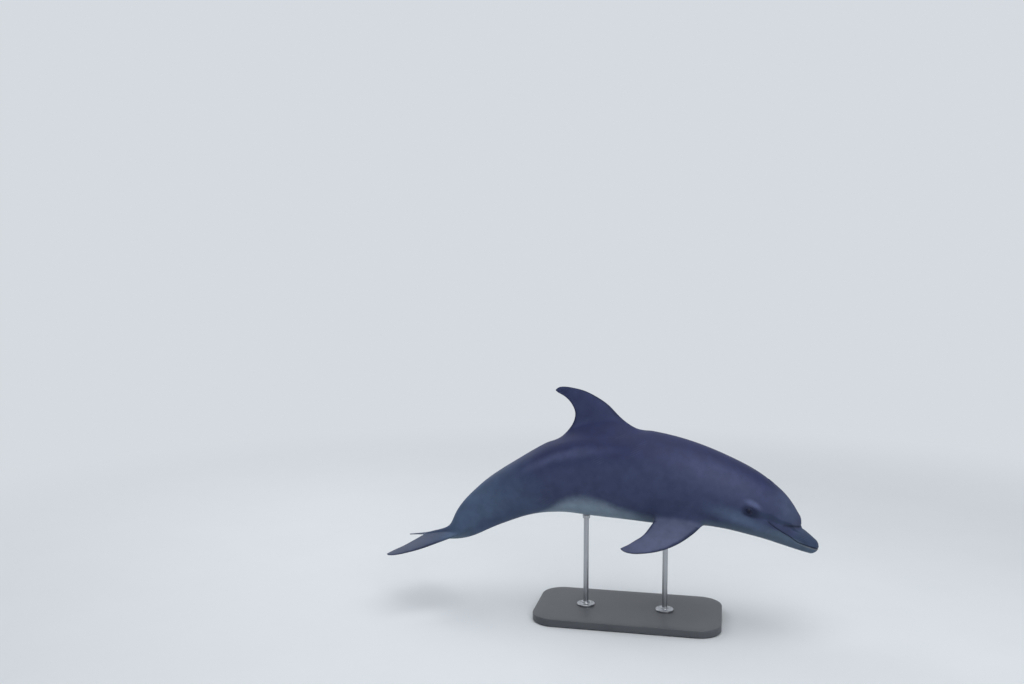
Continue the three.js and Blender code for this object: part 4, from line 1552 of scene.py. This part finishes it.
@dataclass
class FinGrowth(Growth):
    """Fin that grows out of the skin, from a hole to its closed tip."""

    fin: FinForm
    loops: int
    fillet: float = 0.013
    fillet_loops: Pair = (0.35, 0.7)
    lift: float = 0.015
    end_gap: float = 0.6
    scan_end: float = 0.8
    first_value: float = 0.04
    tip_round: float = 0.0009
    tip_shrink: float = 0.55
    tip_crowding: float = 1.5
    reach: tuple[int, int] = (10, 5)
    root: Array = field(init=False)

    def chord_places(self) -> tuple[Array, Array]:
        """Chord share and face of each place on the rim of the hole, which is two columns wide.

        Returns:
            Chord shares, and faces as 1, -1 or 0.
        """
        steps = self.hole.last - self.hole.first
        places = np.arange(steps + 1) + self.end_gap
        c = 0.5 - 0.5 * np.cos(np.pi * places / (steps + 2 * self.end_gap))
        ones = np.ones(steps + 1)
        return np.r_[0.0, c, 1.0, c[::-1]], np.r_[0.0, ones, 0.0, -ones]

    def crossing(self, c: Array, face: Array) -> Array:
        """Finds where each line of the fin leaves the body.

        Args:
            c: chord share of each line.
            face: face of each line.

        Returns:
            Edge share of each crossing.
        """
        t = np.linspace(0.0, self.scan_end, 161)
        radius = self.grid.body.locate(self.fin.points(c[:, None], t[None], face[:, None]))[2]
        inside = radius < 1.0
        last = np.where(inside.any(1), inside.shape[1] - 1 - inside[:, ::-1].argmax(1), 0)
        after = np.minimum(last + 1, len(t) - 1)
        row = np.arange(len(c))
        start, end = radius[row, last], radius[row, after]
        part = np.clip((1.0 - start) / np.maximum(end - start, LEAST_SIZE), 0.0, 1.0)
        return t[last] + (t[after] - t[last]) * part

    def open(self) -> None:
        """Opens the fin's hole in the grid and pins its rim round the fin's root."""
        grid, fin = self.grid, self.fin
        body = grid.body
        ends = np.array([0.0, 1.0, 0.5])
        where = self.crossing(ends, np.zeros(3))
        shares, angles, _ = body.locate(fin.points(ends, where, np.zeros(3)))
        column = grid.column_at(float(angles[2]))
        first, last = (grid.ring_at(float(share)) for share in shares[:2])
        self.hole = Hole(first, last, column - 1, column + 1)
        c, face = self.chord_places()
        self.root = self.crossing(c, face)
        away = face[:, None] * fin.normal
        along = (2.0 * c - 1.0)[:, None] ** 5 * fin.back
        rim = fin.points(c, self.root, face) + unit(away + along) * self.fillet
        rim_s, rim_t, _ = body.locate(rim)
        grid.pin(self.hole, rim_s, rim_t, self.reach)

    def start(self, c: Array, face: Array) -> Array:
        """Edge share of the first loop that is wholly the fin's own."""
        span = np.linalg.norm(self.fin.points(0.5, 0.9, 0.0) - self.fin.points(0.5, 0.1, 0.0)) / 0.8
        return np.minimum(self.root + self.lift / span, 0.9)

    def grow(self) -> None:
        """Adds the fin's loops and closes its tip."""
        grid = self.grid
        c, face = self.chord_places()
        edge = np.abs(2.0 * c - 1.0)
        first = self.start(c, face)
        rim = grid.rim_numbers(self.hole)
        rim_points = grid.points[0][rim]
        share, turn = grid.facts[0][rim][:, 0], grid.facts[0][rim][:, 1] * 180.0
        base = self.fin.points(c, first, face)
        loop = rim
        for part in self.fillet_loops:
            between = rim_points + (base - rim_points) * part
            loop = grid.add_loop(loop, between, share, turn, self.first_value * part, edge * part)
        for k in range(self.loops + 1):
            tau = 1.0 - (1.0 - k / self.loops) ** self.tip_crowding
            points = self.fin.points(c, first + (1.0 - first) * tau, face)
            value = self.first_value + (1.0 - self.first_value) * tau
            loop = grid.add_loop(loop, points, share, turn, value, edge)
        outward = self.fin.points(0.5, 1.0, 0.0) - self.fin.points(0.5, 0.98, 0.0)
        outward /= np.linalg.norm(outward)
        middle = points.mean(axis=0)
        closing = middle + (points - middle) * self.tip_shrink + outward * self.tip_round
        last = grid.add_loop(loop, closing, share, turn, 1.0, edge).tolist()
        steps = self.hole.last - self.hole.first
        a = last[1:steps + 2]
        b = last[:steps + 2:-1]
        grid.faces += [(b[0], last[0], a[0]), (a[-1], last[steps + 2], b[-1])]
        grid.faces += list(zip(a[:-1], a[1:], b[1:], b[:-1]))
        grid.seams.extend(rim.tolist())


@dataclass
class FlukeGrowth(FinGrowth):
    """Fluke that grows out of the side of the tail's end."""

    side: Side = Side.LEFT
    first_share: float = 0.906
    start_out: float = 0.021
    scan_end: float = 0.6
    spread: float = 34.0
    sheet_scan: Pair = (50.0, 110.0)

    def open(self) -> None:
        """Opens the hole up to the tail's last ring, where the fluke's sheet meets it."""
        grid = self.grid
        column = grid.column_at(90.0 * self.side.value)
        self.hole = Hole(grid.ring_at(self.first_share), len(grid.s) - 1, column - 1, column + 1)
        c, face = self.chord_places()
        end = grid.anatomy.tail_end
        shares = self.first_share + (end - self.first_share) * c
        spread = self.spread * np.sin(np.pi * np.clip(c, 0.0, 1.0)) ** 0.6
        scan = np.linspace(*self.sheet_scan, 121)
        skin = grid.skin_point(*np.broadcast_arrays(shares[:, None], self.side.value * scan[None]))
        sheet = scan[np.abs((skin - self.fin.place) @ self.fin.normal).argmin(1)]
        grid.pin(self.hole, shares, self.side.value * sheet + face * spread, self.reach)

    def start(self, c: Array, face: Array) -> Array:
        """Finds where each line of the fluke is a set way out from the animal's middle.

        Args:
            c: chord share of each line.
            face: face of each line.

        Returns:
            Edge share of each line there.
        """
        t = np.linspace(0.0, self.scan_end, 121)
        out = self.side.value * self.fin.points(c[:, None], t[None], face[:, None])[..., 1]
        return np.array([np.interp(self.start_out, row, t) for row in out])


@dataclass
class Opening(Growth):
    """Opening in the skin, edged by loops that turn in and closed behind at a depth."""

    rings: int
    columns: int
    reach: tuple[int, int]
    rim: tuple[float, ...]
    folds: tuple[tuple[float, ...], ...]
    depth: float

    def place(self) -> Pair:
        """Share and angle of the opening's middle."""
        raise NotImplementedError

    def loop(self, fold: tuple[float, ...]) -> tuple[Array, Array, Array]:
        """Shares, angles and heights over the skin of one loop."""
        raise NotImplementedError

    def open(self) -> None:
        """Opens the hole in the grid."""
        share, angle = self.place()
        ring, column = self.grid.ring_at(share), self.grid.column_at(angle)
        self.hole = Hole(ring - self.rings, ring + self.rings, column - self.columns, column + self.columns)
        s, t, _ = self.loop(self.rim)
        self.grid.pin(self.hole, s, t, self.reach)

    def grow(self) -> None:
        """Adds the loops and closes the last one behind the opening."""
        grid = self.grid
        loop = grid.rim_numbers(self.hole)
        for fold in self.folds:
            s, t, lift = self.loop(fold)
            loop = grid.add_loop(loop, grid.skin_point(s, t, lift), s, t)
        s, t = (np.array([value]) for value in self.place())
        back = int(grid.add_points(grid.skin_point(s, t, -self.depth), s, t)[0])
        grid.faces += [(a, b, back) for a, b in zip(loop.tolist(), np.roll(loop, -1).tolist())]


@dataclass
class EyeOpening(Opening):
    """Eyelids round one eye."""

    side: Side = Side.RIGHT
    rings: int = 5
    columns: int = 2
    reach: tuple[int, int] = (8, 4)
    # Half length, half height, then height over the skin at the corners and at the middle.
    rim: Span = (0.024, 0.02, 0.0, 0.0)
    folds: tuple[Span, ...] = (
        (0.0218, 0.0176, 0.0001, 0.0005), (0.02, 0.0158, -0.0002, -0.0003),
        (0.0186, 0.0144, 0.0003, 0.001), (0.017, 0.0127, 0.0004, 0.0017),
        (0.0156, 0.0111, -0.0001, 0.0011), (0.0141, 0.0094, 0.0006, 0.0025),
        (0.0127, 0.0078, 0.001, 0.0037), (0.0116, 0.0066, 0.0009, 0.004),
        (0.0109, 0.0058, 0.0001, 0.0031), (0.0101, 0.0051, -0.003, 0.0008),
    )
    point: float = 0.45
    feel: float = 0.004
    depth: float = 0.009

    def place(self) -> Pair:
        """Share and angle of the eye's middle."""
        return self.grid.anatomy.eye_share, self.grid.anatomy.eye_angle * self.side.value

    def loop(self, fold: tuple[float, ...]) -> tuple[Array, Array, Array]:
        """Places an oval loop round the eye.

        Args:
            fold: half length and half height, then its heights at the corners and at the middle.

        Returns:
            Shares, angles and heights over the skin.
        """
        length, height, at_corner, at_middle = fold
        body = self.grid.body
        s, t = (np.array(value) for value in self.place())
        middle = body.surface(s, t)
        back = body.surface(s + self.feel, t) - body.surface(s - self.feel, t)
        back /= np.linalg.norm(back)
        turn = np.cross(body.outward(s, t), back)
        turn /= np.linalg.norm(turn)
        turn *= np.sign(turn @ (body.surface(s, t + 1.0) - middle))
        places = zip(*self.hole.offsets())
        clock = np.array([math.atan2(j / self.columns, i / self.rings) for i, j in places])
        sharp = self.point * smoothstep(np.array(length), self.rim[0], self.folds[-1][0])
        tall = height * np.sin(clock) * np.abs(np.sin(clock)) ** sharp
        flat = middle + np.cos(clock)[:, None] * length * back + tall[:, None] * turn
        s, t, _ = body.locate(flat)
        return s, t, at_corner + (at_middle - at_corner) * np.sin(clock) ** 2


@dataclass
class Blowhole(Opening):
    """Crescent blowhole on top of the head, its horns forward."""

    rings: int = 3
    columns: int = 2
    reach: tuple[int, int] = (6, 4)
    half_width: float = 0.0145
    bow: float = 0.01
    bow_middle: float = 0.4
    slot: float = 0.0016
    least_slot: float = 0.0002
    # Growth of the crescent's outline, then height over the skin.
    rim: Pair = (0.0075, 0.0)
    folds: Table = (
        (0.005, 0.0001), (0.003, 0.0005), (0.0016, 0.0007), (0.0007, 0.0004), (0.0002, -0.0006),
        (0.0, -0.003), (-0.0002, -0.007),
    )
    depth: float = 0.008

    def place(self) -> Pair:
        """Share and angle of the blowhole's middle."""
        return self.grid.anatomy.blowhole_share, 0.0

    def loop(self, fold: tuple[float, ...]) -> tuple[Array, Array, Array]:
        """Places a crescent loop on the head.

        Args:
            fold: how far the loop lies outside the slot, and its height.

        Returns:
            Shares, angles and heights over the skin.
        """
        growth, height = fold
        body = self.grid.body
        s0, _ = self.place()
        rings, columns = self.hole.offsets()
        b = columns / self.columns * (self.half_width + growth)
        share = np.clip(np.abs(b) / self.half_width, 0.0, 1.3)
        slot = self.slot * np.maximum(1 - share**2, 0.0) + self.least_slot + growth
        a = self.bow * (self.bow_middle - share**2) + rings / self.rings * slot
        width = float(body.curves["half_width"](np.array(s0)))
        angle = np.degrees(np.arcsin(np.clip(b / width, -1.0, 1.0)))
        return s0 + a / body.length, angle, np.full(len(a), height)


@dataclass
class DolphinSkin:
    """The whole animal under one unbroken skin, with its finish."""

    body: BodyForm
    anatomy: Anatomy
    dorsal_loops: int = 18
    flipper_loops: int = 22
    fluke_loops: int = 16
    seam_reach: float = 0.034
    seam_core: float = 0.3
    seam_strength: float = 0.6
    seam_steps: int = 26
    relief_end: float = 0.02
    levels: int = 2

    def shape(self) -> SkinGrid:
        """Opens the grid and grows everything out of it.

        Returns:
            The grid with its points and faces.
        """
        body, anatomy = self.body, self.anatomy
        grid = SkinGrid(body, anatomy)
        growths = [FinGrowth(grid, anatomy.dorsal(body), self.dorsal_loops), Blowhole(grid)]
        for side in Side:
            growths.append(FlukeGrowth(grid, anatomy.fluke(body, side), self.fluke_loops, side=side))
            growths.append(FinGrowth(grid, anatomy.flipper(body, side), self.flipper_loops))
            growths.append(EyeOpening(grid, side=side))
        for growth in growths:
            growth.open()
        grid.build_grid()
        for growth in growths:
            growth.grow()
        return grid

    def smooth_seams(self, points: Array, edges: Array, seams: Array) -> Array:
        """Evens out the surface where fins leave the body.

        Args:
            points: every point of the mesh.
            edges: pairs of point numbers.
            seams: numbers of the points on the fins' rims.

        Returns:
            The moved points.
        """
        near = np.full(len(points), 1.0)
        for seam in points[seams]:
            near = np.minimum(near, np.linalg.norm(points - seam, axis=1))
        weight = 1.0 - smoothstep(near, self.seam_core * self.seam_reach, self.seam_reach)
        weight = weight * self.seam_strength
        count = np.maximum(np.bincount(edges.ravel(), minlength=len(points)), 1)
        for _ in range(self.seam_steps):
            total = np.zeros_like(points)
            np.add.at(total, edges[:, 0], points[edges[:, 1]])
            np.add.at(total, edges[:, 1], points[edges[:, 0]])
            points = points + (total / count[:, None] - points) * weight[:, None]
        return points

    def build(self) -> Piece:
        """Builds the skin as one fine mesh.

        Returns:
            The skin.
        """
        grid = self.shape()
        cage = bpy.data.meshes.new("dolphin_cage")
        points = np.concatenate(grid.points)
        cage.from_pydata(points.tolist(), [], grid.faces)
        edges = np.zeros(len(cage.edges) * 2, int)
        cage.edges.foreach_get("vertices", edges)
        points = self.smooth_seams(points, edges.reshape(-1, 2), np.array(grid.seams))
        cage.vertices.foreach_set("co", points.ravel())
        facts = np.concatenate(grid.facts)
        for column, name in enumerate(SKIN_FACTS):
            cage.attributes.new(name, "FLOAT", "POINT").data.foreach_set("value", facts[:, column])
        shell = bmesh.new()
        shell.from_mesh(cage)
        bmesh.ops.delete(shell, geom=[v for v in shell.verts if not v.link_faces], context="VERTS")
        bmesh.ops.recalc_face_normals(shell, faces=shell.faces)
        shell.to_mesh(cage)
        shell.free()
        piece = bpy.data.objects.new("dolphin_skin", cage)
        bpy.context.collection.objects.link(piece)
        rounding = piece.modifiers.new("rounding", "SUBSURF")
        rounding.levels = rounding.render_levels = self.levels
        rounding.boundary_smooth = "PRESERVE_CORNERS"
        graph = bpy.context.evaluated_depsgraph_get()
        fine = bpy.data.meshes.new_from_object(piece.evaluated_get(graph))
        piece.modifiers.clear()
        piece.data = fine
        bpy.data.meshes.remove(cage)
        fine.name = "dolphin_skin"
        self.emboss(fine)
        return piece

    def emboss(self, mesh: bpy.types.Mesh) -> None:
        """Presses the relief into the mesh and adds the masks of the finish's painted crease shade and pale
        lip.

        Args:
            mesh: the skin's fine mesh.
        """
        count = len(mesh.vertices)
        facts = np.zeros((len(SKIN_FACTS), count))
        for name, values in zip(SKIN_FACTS, facts):
            mesh.attributes[name].data.foreach_get("value", values)
        share, angle, fin = facts[0], facts[1] * 180.0, facts[2]
        points = np.zeros(count * 3)
        normals = np.zeros(count * 3)
        mesh.vertices.foreach_get("co", points)
        mesh.vertex_normals.foreach_get("vector", normals)
        relief = SkinRelief(self.body, self.anatomy)
        height = relief.height(share, angle)
        height *= 1.0 - smoothstep(fin, 0.0, self.relief_end)
        points += (normals.reshape(-1, 3) * height[:, None]).ravel()
        for name, values in zip(SKIN_LINES, relief.lines(share, angle)):
            mesh.attributes.new(name, "FLOAT", "POINT").data.foreach_set("value", values)
        mesh.vertices.foreach_set("co", points)
        mesh.polygons.foreach_set("use_smooth", np.ones(len(mesh.polygons), bool))
        mesh.update()

    def dress(self, piece: Piece) -> None:
        """Gives the skin its finish and its place in the frame.

        Args:
            piece: the skin.
        """
        piece.data.materials.append(SkinFinish().material())
        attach(piece, "root")
        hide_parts(*FLESH)


@dataclass
class Eyeball:
    """One eyeball behind its lids, slightly bulged at the cornea."""

    side: Side
    body: BodyForm
    anatomy: Anatomy
    rings: int = 40
    segments: int = 64
    cornea_top: float = 0.6
    cornea_angle: float = 34.0
    cornea_bulge: float = 0.0006

    def build(self) -> Piece:
        """Builds the eyeball round its outward axis.

        Returns:
            The eyeball.
        """
        place = self.anatomy
        s = np.array(place.eye_share)
        t = np.array(place.eye_angle * self.side.value)
        out = Vector(self.body.outward(s, t))
        middle = Vector(self.body.surface(s, t)) - out * place.eye_sunk
        turn = out.to_track_quat("Z", "Y").to_matrix()
        polar = np.linspace(0.0, 180.0, self.rings + 1)
        bulge = 1 - smoothstep(polar, self.cornea_top, self.cornea_angle)
        radius = place.eye_radius + self.cornea_bulge * bulge
        profile = [
            (float(r * math.sin(math.radians(a))), float(r * math.cos(math.radians(a))))
            for r, a in zip(radius, polar)
        ]
        mesh = lathe(f"eyeball_{self.side.name.lower()}", profile, self.segments)
        gaze = mesh.attributes.new("gaze", "FLOAT", "POINT")
        for vertex in mesh.vertices:
            away = math.hypot(vertex.co.x, vertex.co.y)
            gaze.data[vertex.index].value = math.atan2(away, vertex.co.z) / math.pi
            vertex.co = middle + turn @ vertex.co
        return new_piece(mesh)

    def dress(self, piece: Piece) -> None:
        """Gives the eyeball its finish and its place in the frame.

        Args:
            piece: the eyeball.
        """
        piece.data.materials.append(EyeFinish().material())
        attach(piece, "root")
        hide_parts(f"eye_{self.side.name.lower()}")


# ---- the stand


@dataclass
class StandBoard:
    """Flat board with round corners, a soft upper edge and a shadow gap under it."""

    corner: float = 0.07
    bevel: float = 0.003
    foot_bevel: float = 0.0006
    gap_height: float = 0.003
    gap_depth: float = 0.004
    top_inset: float = 0.03
    corner_steps: int = 20
    bevel_steps: int = 5

    def build(self) -> Piece:
        """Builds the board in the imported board's box.

        Returns:
            The board.
        """
        low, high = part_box("stand_base")
        half = ((high.x - low.x) / 2, (high.y - low.y) / 2)
        middle = ((high.x + low.x) / 2, (high.y + low.y) / 2)
        thick = high.z - low.z
        foot = self.gap_height + self.foot_bevel
        layers = [(self.gap_depth, 0.0), (self.gap_depth, self.gap_height)]
        layers += [(self.foot_bevel, self.gap_height), (0.0, foot), (0.0, thick - self.bevel)]
        for step in range(1, self.bevel_steps + 1):
            a = math.pi / 2 * step / self.bevel_steps
            layers.append((self.bevel * (1 - math.cos(a)), thick - self.bevel * (1 - math.sin(a))))
        shell = bmesh.new()
        loops = []
        for inset, z in (*layers, (self.top_inset, thick)):
            loop = []
            radius = self.corner - inset
            for sx, sy, start in ((1, 1, 0), (-1, 1, 90), (-1, -1, 180), (1, -1, 270)):
                cx = middle[0] + sx * (half[0] - self.corner)
                cy = middle[1] + sy * (half[1] - self.corner)
                for step in range(self.corner_steps + 1):
                    a = math.radians(start + 90 * step / self.corner_steps)
                    at = (cx + radius * math.cos(a), cy + radius * math.sin(a), low.z + z)
                    loop.append(shell.verts.new(at))
            loops.append(loop)
        close_loops(shell, loops)
        mesh = bpy.data.meshes.new("stand_board")
        shell.to_mesh(mesh)
        shell.free()
        return new_piece(mesh, sharp=True)

    def dress(self, piece: Piece) -> None:
        """Gives the board its finish and its place in the frame.

        Args:
            piece: the board.
        """
        piece.data.materials.append(BoardFinish().material())
        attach(piece, "root")
        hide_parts("stand_base")


@dataclass
class StandSupport:
    """One round rod with its foot flange, and the collar that carries the belly."""

    place: str
    rod_bevel: float = 0.0005
    rod_groove: Pair = (0.004, 0.0003)
    collar_radius: float = 0.0115
    collar_height: float = 0.014
    collar_bevel: float = 0.0008
    collar_lip: float = 0.001
    top_drop: float = 0.0035
    bore_gap: float = 0.0003
    plate_bevel: float = 0.0006
    plate_shoulder: Pair = (0.0008, 0.0042)
    plate_height: float = 0.005
    # The flange's neck: radius over the bore, and height over its foot.
    neck_foot: Table = ((0.0055, 0.0052), (0.0042, 0.0058), (0.0035, 0.0072))
    # The neck's upper end: radius over the bore, and depth under its top.
    neck_top: Table = ((0.0033, 0.0012), (0.0021, 0.0), (0.0004, 0.0), (0.0, 0.0004))
    screws: int = 3
    screw_turn: float = 0.25
    screw_ring: float = 0.0205
    screw_radius: float = 0.0032
    screw_facets: int = 24
    # Share of the screw's radius, height over the plate, and whether the outline is a hexagon.
    screw_layers: tuple[tuple[float, float, bool], ...] = (
        (1.0, -0.0012, False), (1.0, 0.0003, False), (0.86, 0.0009, False), (0.5, 0.0011, True),
        (0.46, 0.001, True), (0.46, -0.0006, True),
    )
    segments: int = 64

    def build_rod(self) -> Piece:
        """Builds the rod, from the flange's foot up to the belly, with its collar.

        Returns:
            The rod.
        """
        low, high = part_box(f"stand_rod_{self.place}")
        radius = (high.x - low.x) / 2
        top = high.z - low.z
        neck = top - self.collar_height
        wide, bevel = self.collar_radius, self.collar_bevel
        groove, edge = self.rod_groove
        profile = [
            (0.0, 0.0), (radius - self.rod_bevel, 0.0), (radius, self.rod_bevel),
            (radius, neck - groove), (radius, neck - edge), (wide - bevel, neck), (wide, neck + bevel),
            (wide, top - self.top_drop - self.collar_lip), (wide - bevel, top - self.top_drop),
            (0.0, top - self.top_drop),
        ]
        mesh = lathe(f"stand_rod_steel_{self.place}", profile, self.segments)
        mesh.transform(to_foot(low, high))
        return new_piece(mesh, sharp=True)

    def build_flange(self) -> Piece:
        """Builds the flange with its screws as one mesh.

        Returns:
            The flange.
        """
        low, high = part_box(f"stand_flange_{self.place}")
        rod_low, rod_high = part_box(f"stand_rod_{self.place}")
        wide = (high.x - low.x) / 2
        tall = high.z - low.z
        bore = (rod_high.x - rod_low.x) / 2 + self.bore_gap
        shoulder, shoulder_height = self.plate_shoulder
        profile = [
            (bore, 0.0), (wide - self.plate_bevel, 0.0), (wide, self.plate_bevel),
            (wide, shoulder_height), (wide - shoulder, self.plate_height),
        ]
        profile += [(bore + wall, height) for wall, height in self.neck_foot]
        profile += [(bore + wall, tall - depth) for wall, depth in self.neck_top]
        mesh = lathe(f"stand_flange_steel_{self.place}", profile, self.segments, ring=True)
        shell = bmesh.new()
        shell.from_mesh(mesh)
        for number in range(self.screws):
            angle = math.tau * (number + self.screw_turn) / self.screws
            self._add_screw(shell, self.screw_ring * math.cos(angle), self.screw_ring * math.sin(angle))
        shell.to_mesh(mesh)
        shell.free()
        mesh.transform(to_foot(low, high))
        return new_piece(mesh, sharp=True)

    def _add_screw(self, shell: bmesh.types.BMesh, x: float, y: float) -> None:
        """Adds a low round screw head with a hexagonal socket on the flange's plate.

        Args:
            shell: the mesh being built.
            x: place of the screw's axis.
            y: place of the screw's axis.
        """
        loops = []
        for share, height, hexed in self.screw_layers:
            loop = []
            for k in range(self.screw_facets):
                a = math.tau * k / self.screw_facets
                bend = 1.0
                if hexed:
                    bend = math.cos(math.pi / 6) / math.cos((a % (math.pi / 3)) - math.pi / 6)
                reach = self.screw_radius * share * bend
                at = (x + reach * math.cos(a), y + reach * math.sin(a), self.plate_height + height)
                loop.append(shell.verts.new(at))
            loops.append(loop)
        close_loops(shell, loops)

    def dress(self, rod: Piece, flange: Piece) -> None:
        """Gives the rod and its flange their finish and their place in the frame.

        Args:
            rod: the rod.
            flange: the flange.
        """
        for piece, kind in ((rod, "rod"), (flange, "flange")):
            piece.data.materials.append(SteelFinish().material())
            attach(piece, "root")
            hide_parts(f"stand_{kind}_{self.place}")


# ---- the studio


@dataclass(frozen=True)
class Lamp:
    """Square soft lamp: its place and side in metres, and its power in watts."""

    name: str
    at: Triple
    size: float
    power: float


@dataclass
class Studio:
    """Pale sweep under soft lamps, and the camera."""

    floor_rings: tuple[float, ...] = (0.0, 1.5, 3.5)
    floor_radius: float = 5.5
    bend: float = 2.5
    bend_steps: int = 16
    wall_height: float = 6.5
    segments: int = 96
    lamps: tuple[Lamp, ...] = (
        Lamp("lamp_over", (0.4, -0.4, 3.6), 3.4, 70.0),
        Lamp("lamp_front", (1.9, -3.2, 2.1), 2.0, 34.0),
        Lamp("lamp_back", (-2.2, 1.6, 2.2), 1.6, 22.0),
    )
    lit_point: Triple = (0.0, 0.0, 0.4)
    room_colour: Colour = (0.88, 0.915, 0.95, 1.0)
    room_strength: float = 0.62
    seen_colour: Colour = (0.86, 0.88, 0.9, 1.0)
    seen_strength: float = 0.9
    camera_at: Triple = (0.2845, -2.9685, 1.0905)
    camera_tilt: float = -4.88
    camera_turn: float = 12.306
    lens: float = 35.0

    def build_floor(self) -> None:
        """Builds the round floor, which curves up into a wall on every side."""
        profile = [(radius, 0.0) for radius in (*self.floor_rings, self.floor_radius)]
        for step in range(1, self.bend_steps + 1):
            a = math.pi / 2 * step / self.bend_steps
            profile.append((self.floor_radius + self.bend * math.sin(a), self.bend * (1 - math.cos(a))))
        profile.append((self.floor_radius + self.bend, self.wall_height))
        floor = new_piece(lathe("studio_floor", profile, self.segments))
        floor.data.flip_normals()
        floor.data.materials.append(FloorFinish().material())

    def light(self) -> None:
        """Hangs the lamps and sets the pale surroundings."""
        for lamp in self.lamps:
            light = bpy.data.lights.new(lamp.name, "AREA")
            light.size = lamp.size
            light.energy = lamp.power
            piece = bpy.data.objects.new(lamp.name, light)
            piece.location = lamp.at
            facing = Vector(self.lit_point) - Vector(lamp.at)
            piece.rotation_euler = facing.to_track_quat("-Z", "Y").to_euler()
            bpy.context.collection.objects.link(piece)
        world = bpy.data.worlds.new("studio_world")
        bpy.context.scene.world = world
        world.use_nodes = True
        write = NodeWriter(world.node_tree)
        write.tree.nodes.clear()
        paths = write.add("ShaderNodeLightPath")
        seen = write.math("MAXIMUM", paths.outputs["Is Camera Ray"], paths.outputs["Is Glossy Ray"])
        room = write.add("ShaderNodeBackground", {"Color": self.room_colour, "Strength": self.room_strength})
        pale = write.add("ShaderNodeBackground", {"Color": self.seen_colour, "Strength": self.seen_strength})
        both = write.add("ShaderNodeMixShader", {0: seen, 1: room.outputs[0], 2: pale.outputs[0]})
        write.add("ShaderNodeOutputWorld", {"Surface": both.outputs[0]})

    def place_camera(self) -> None:
        """Sets up the camera."""
        camera = bpy.data.cameras.new("camera")
        camera.lens = self.lens
        camera.dof.use_dof = False
        piece = bpy.data.objects.new("camera", camera)
        piece.location = self.camera_at
        piece.rotation_euler = (math.radians(90.0 + self.camera_tilt), 0.0, math.radians(self.camera_turn))
        bpy.context.collection.objects.link(piece)
        bpy.context.scene.camera = piece


def main() -> None:
    """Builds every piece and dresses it."""
    logging.basicConfig(level=logging.INFO, format="%(name)s: %(message)s")
    body, anatomy = BodyForm(), Anatomy()
    skin = DolphinSkin(body, anatomy)
    report(skin, skin.build())
    for side in Side:
        eye = Eyeball(side, body, anatomy)
        report(eye, eye.build())
    board = StandBoard()
    report(board, board.build())
    for place in ("front", "back"):
        support = StandSupport(place)
        report(support, support.build_rod(), support.build_flange())
    studio = Studio()
    studio.build_floor()
    studio.light()
    studio.place_camera()
    bpy.context.scene.view_settings.view_transform = "Standard"
    bpy.context.view_layer.update()


def report(maker: DolphinSkin | Eyeball | StandBoard | StandSupport, *pieces: Piece) -> None:
    """Dresses the pieces of a sub-assembly and logs each of them.

    Args:
        maker: the sub-assembly.
        pieces: the pieces that it built.
    """
    maker.dress(*pieces)
    for piece in pieces:
        LOG.info("%s: %d faces", piece.name, len(piece.data.polygons))


if __name__ == "__main__":
    main()
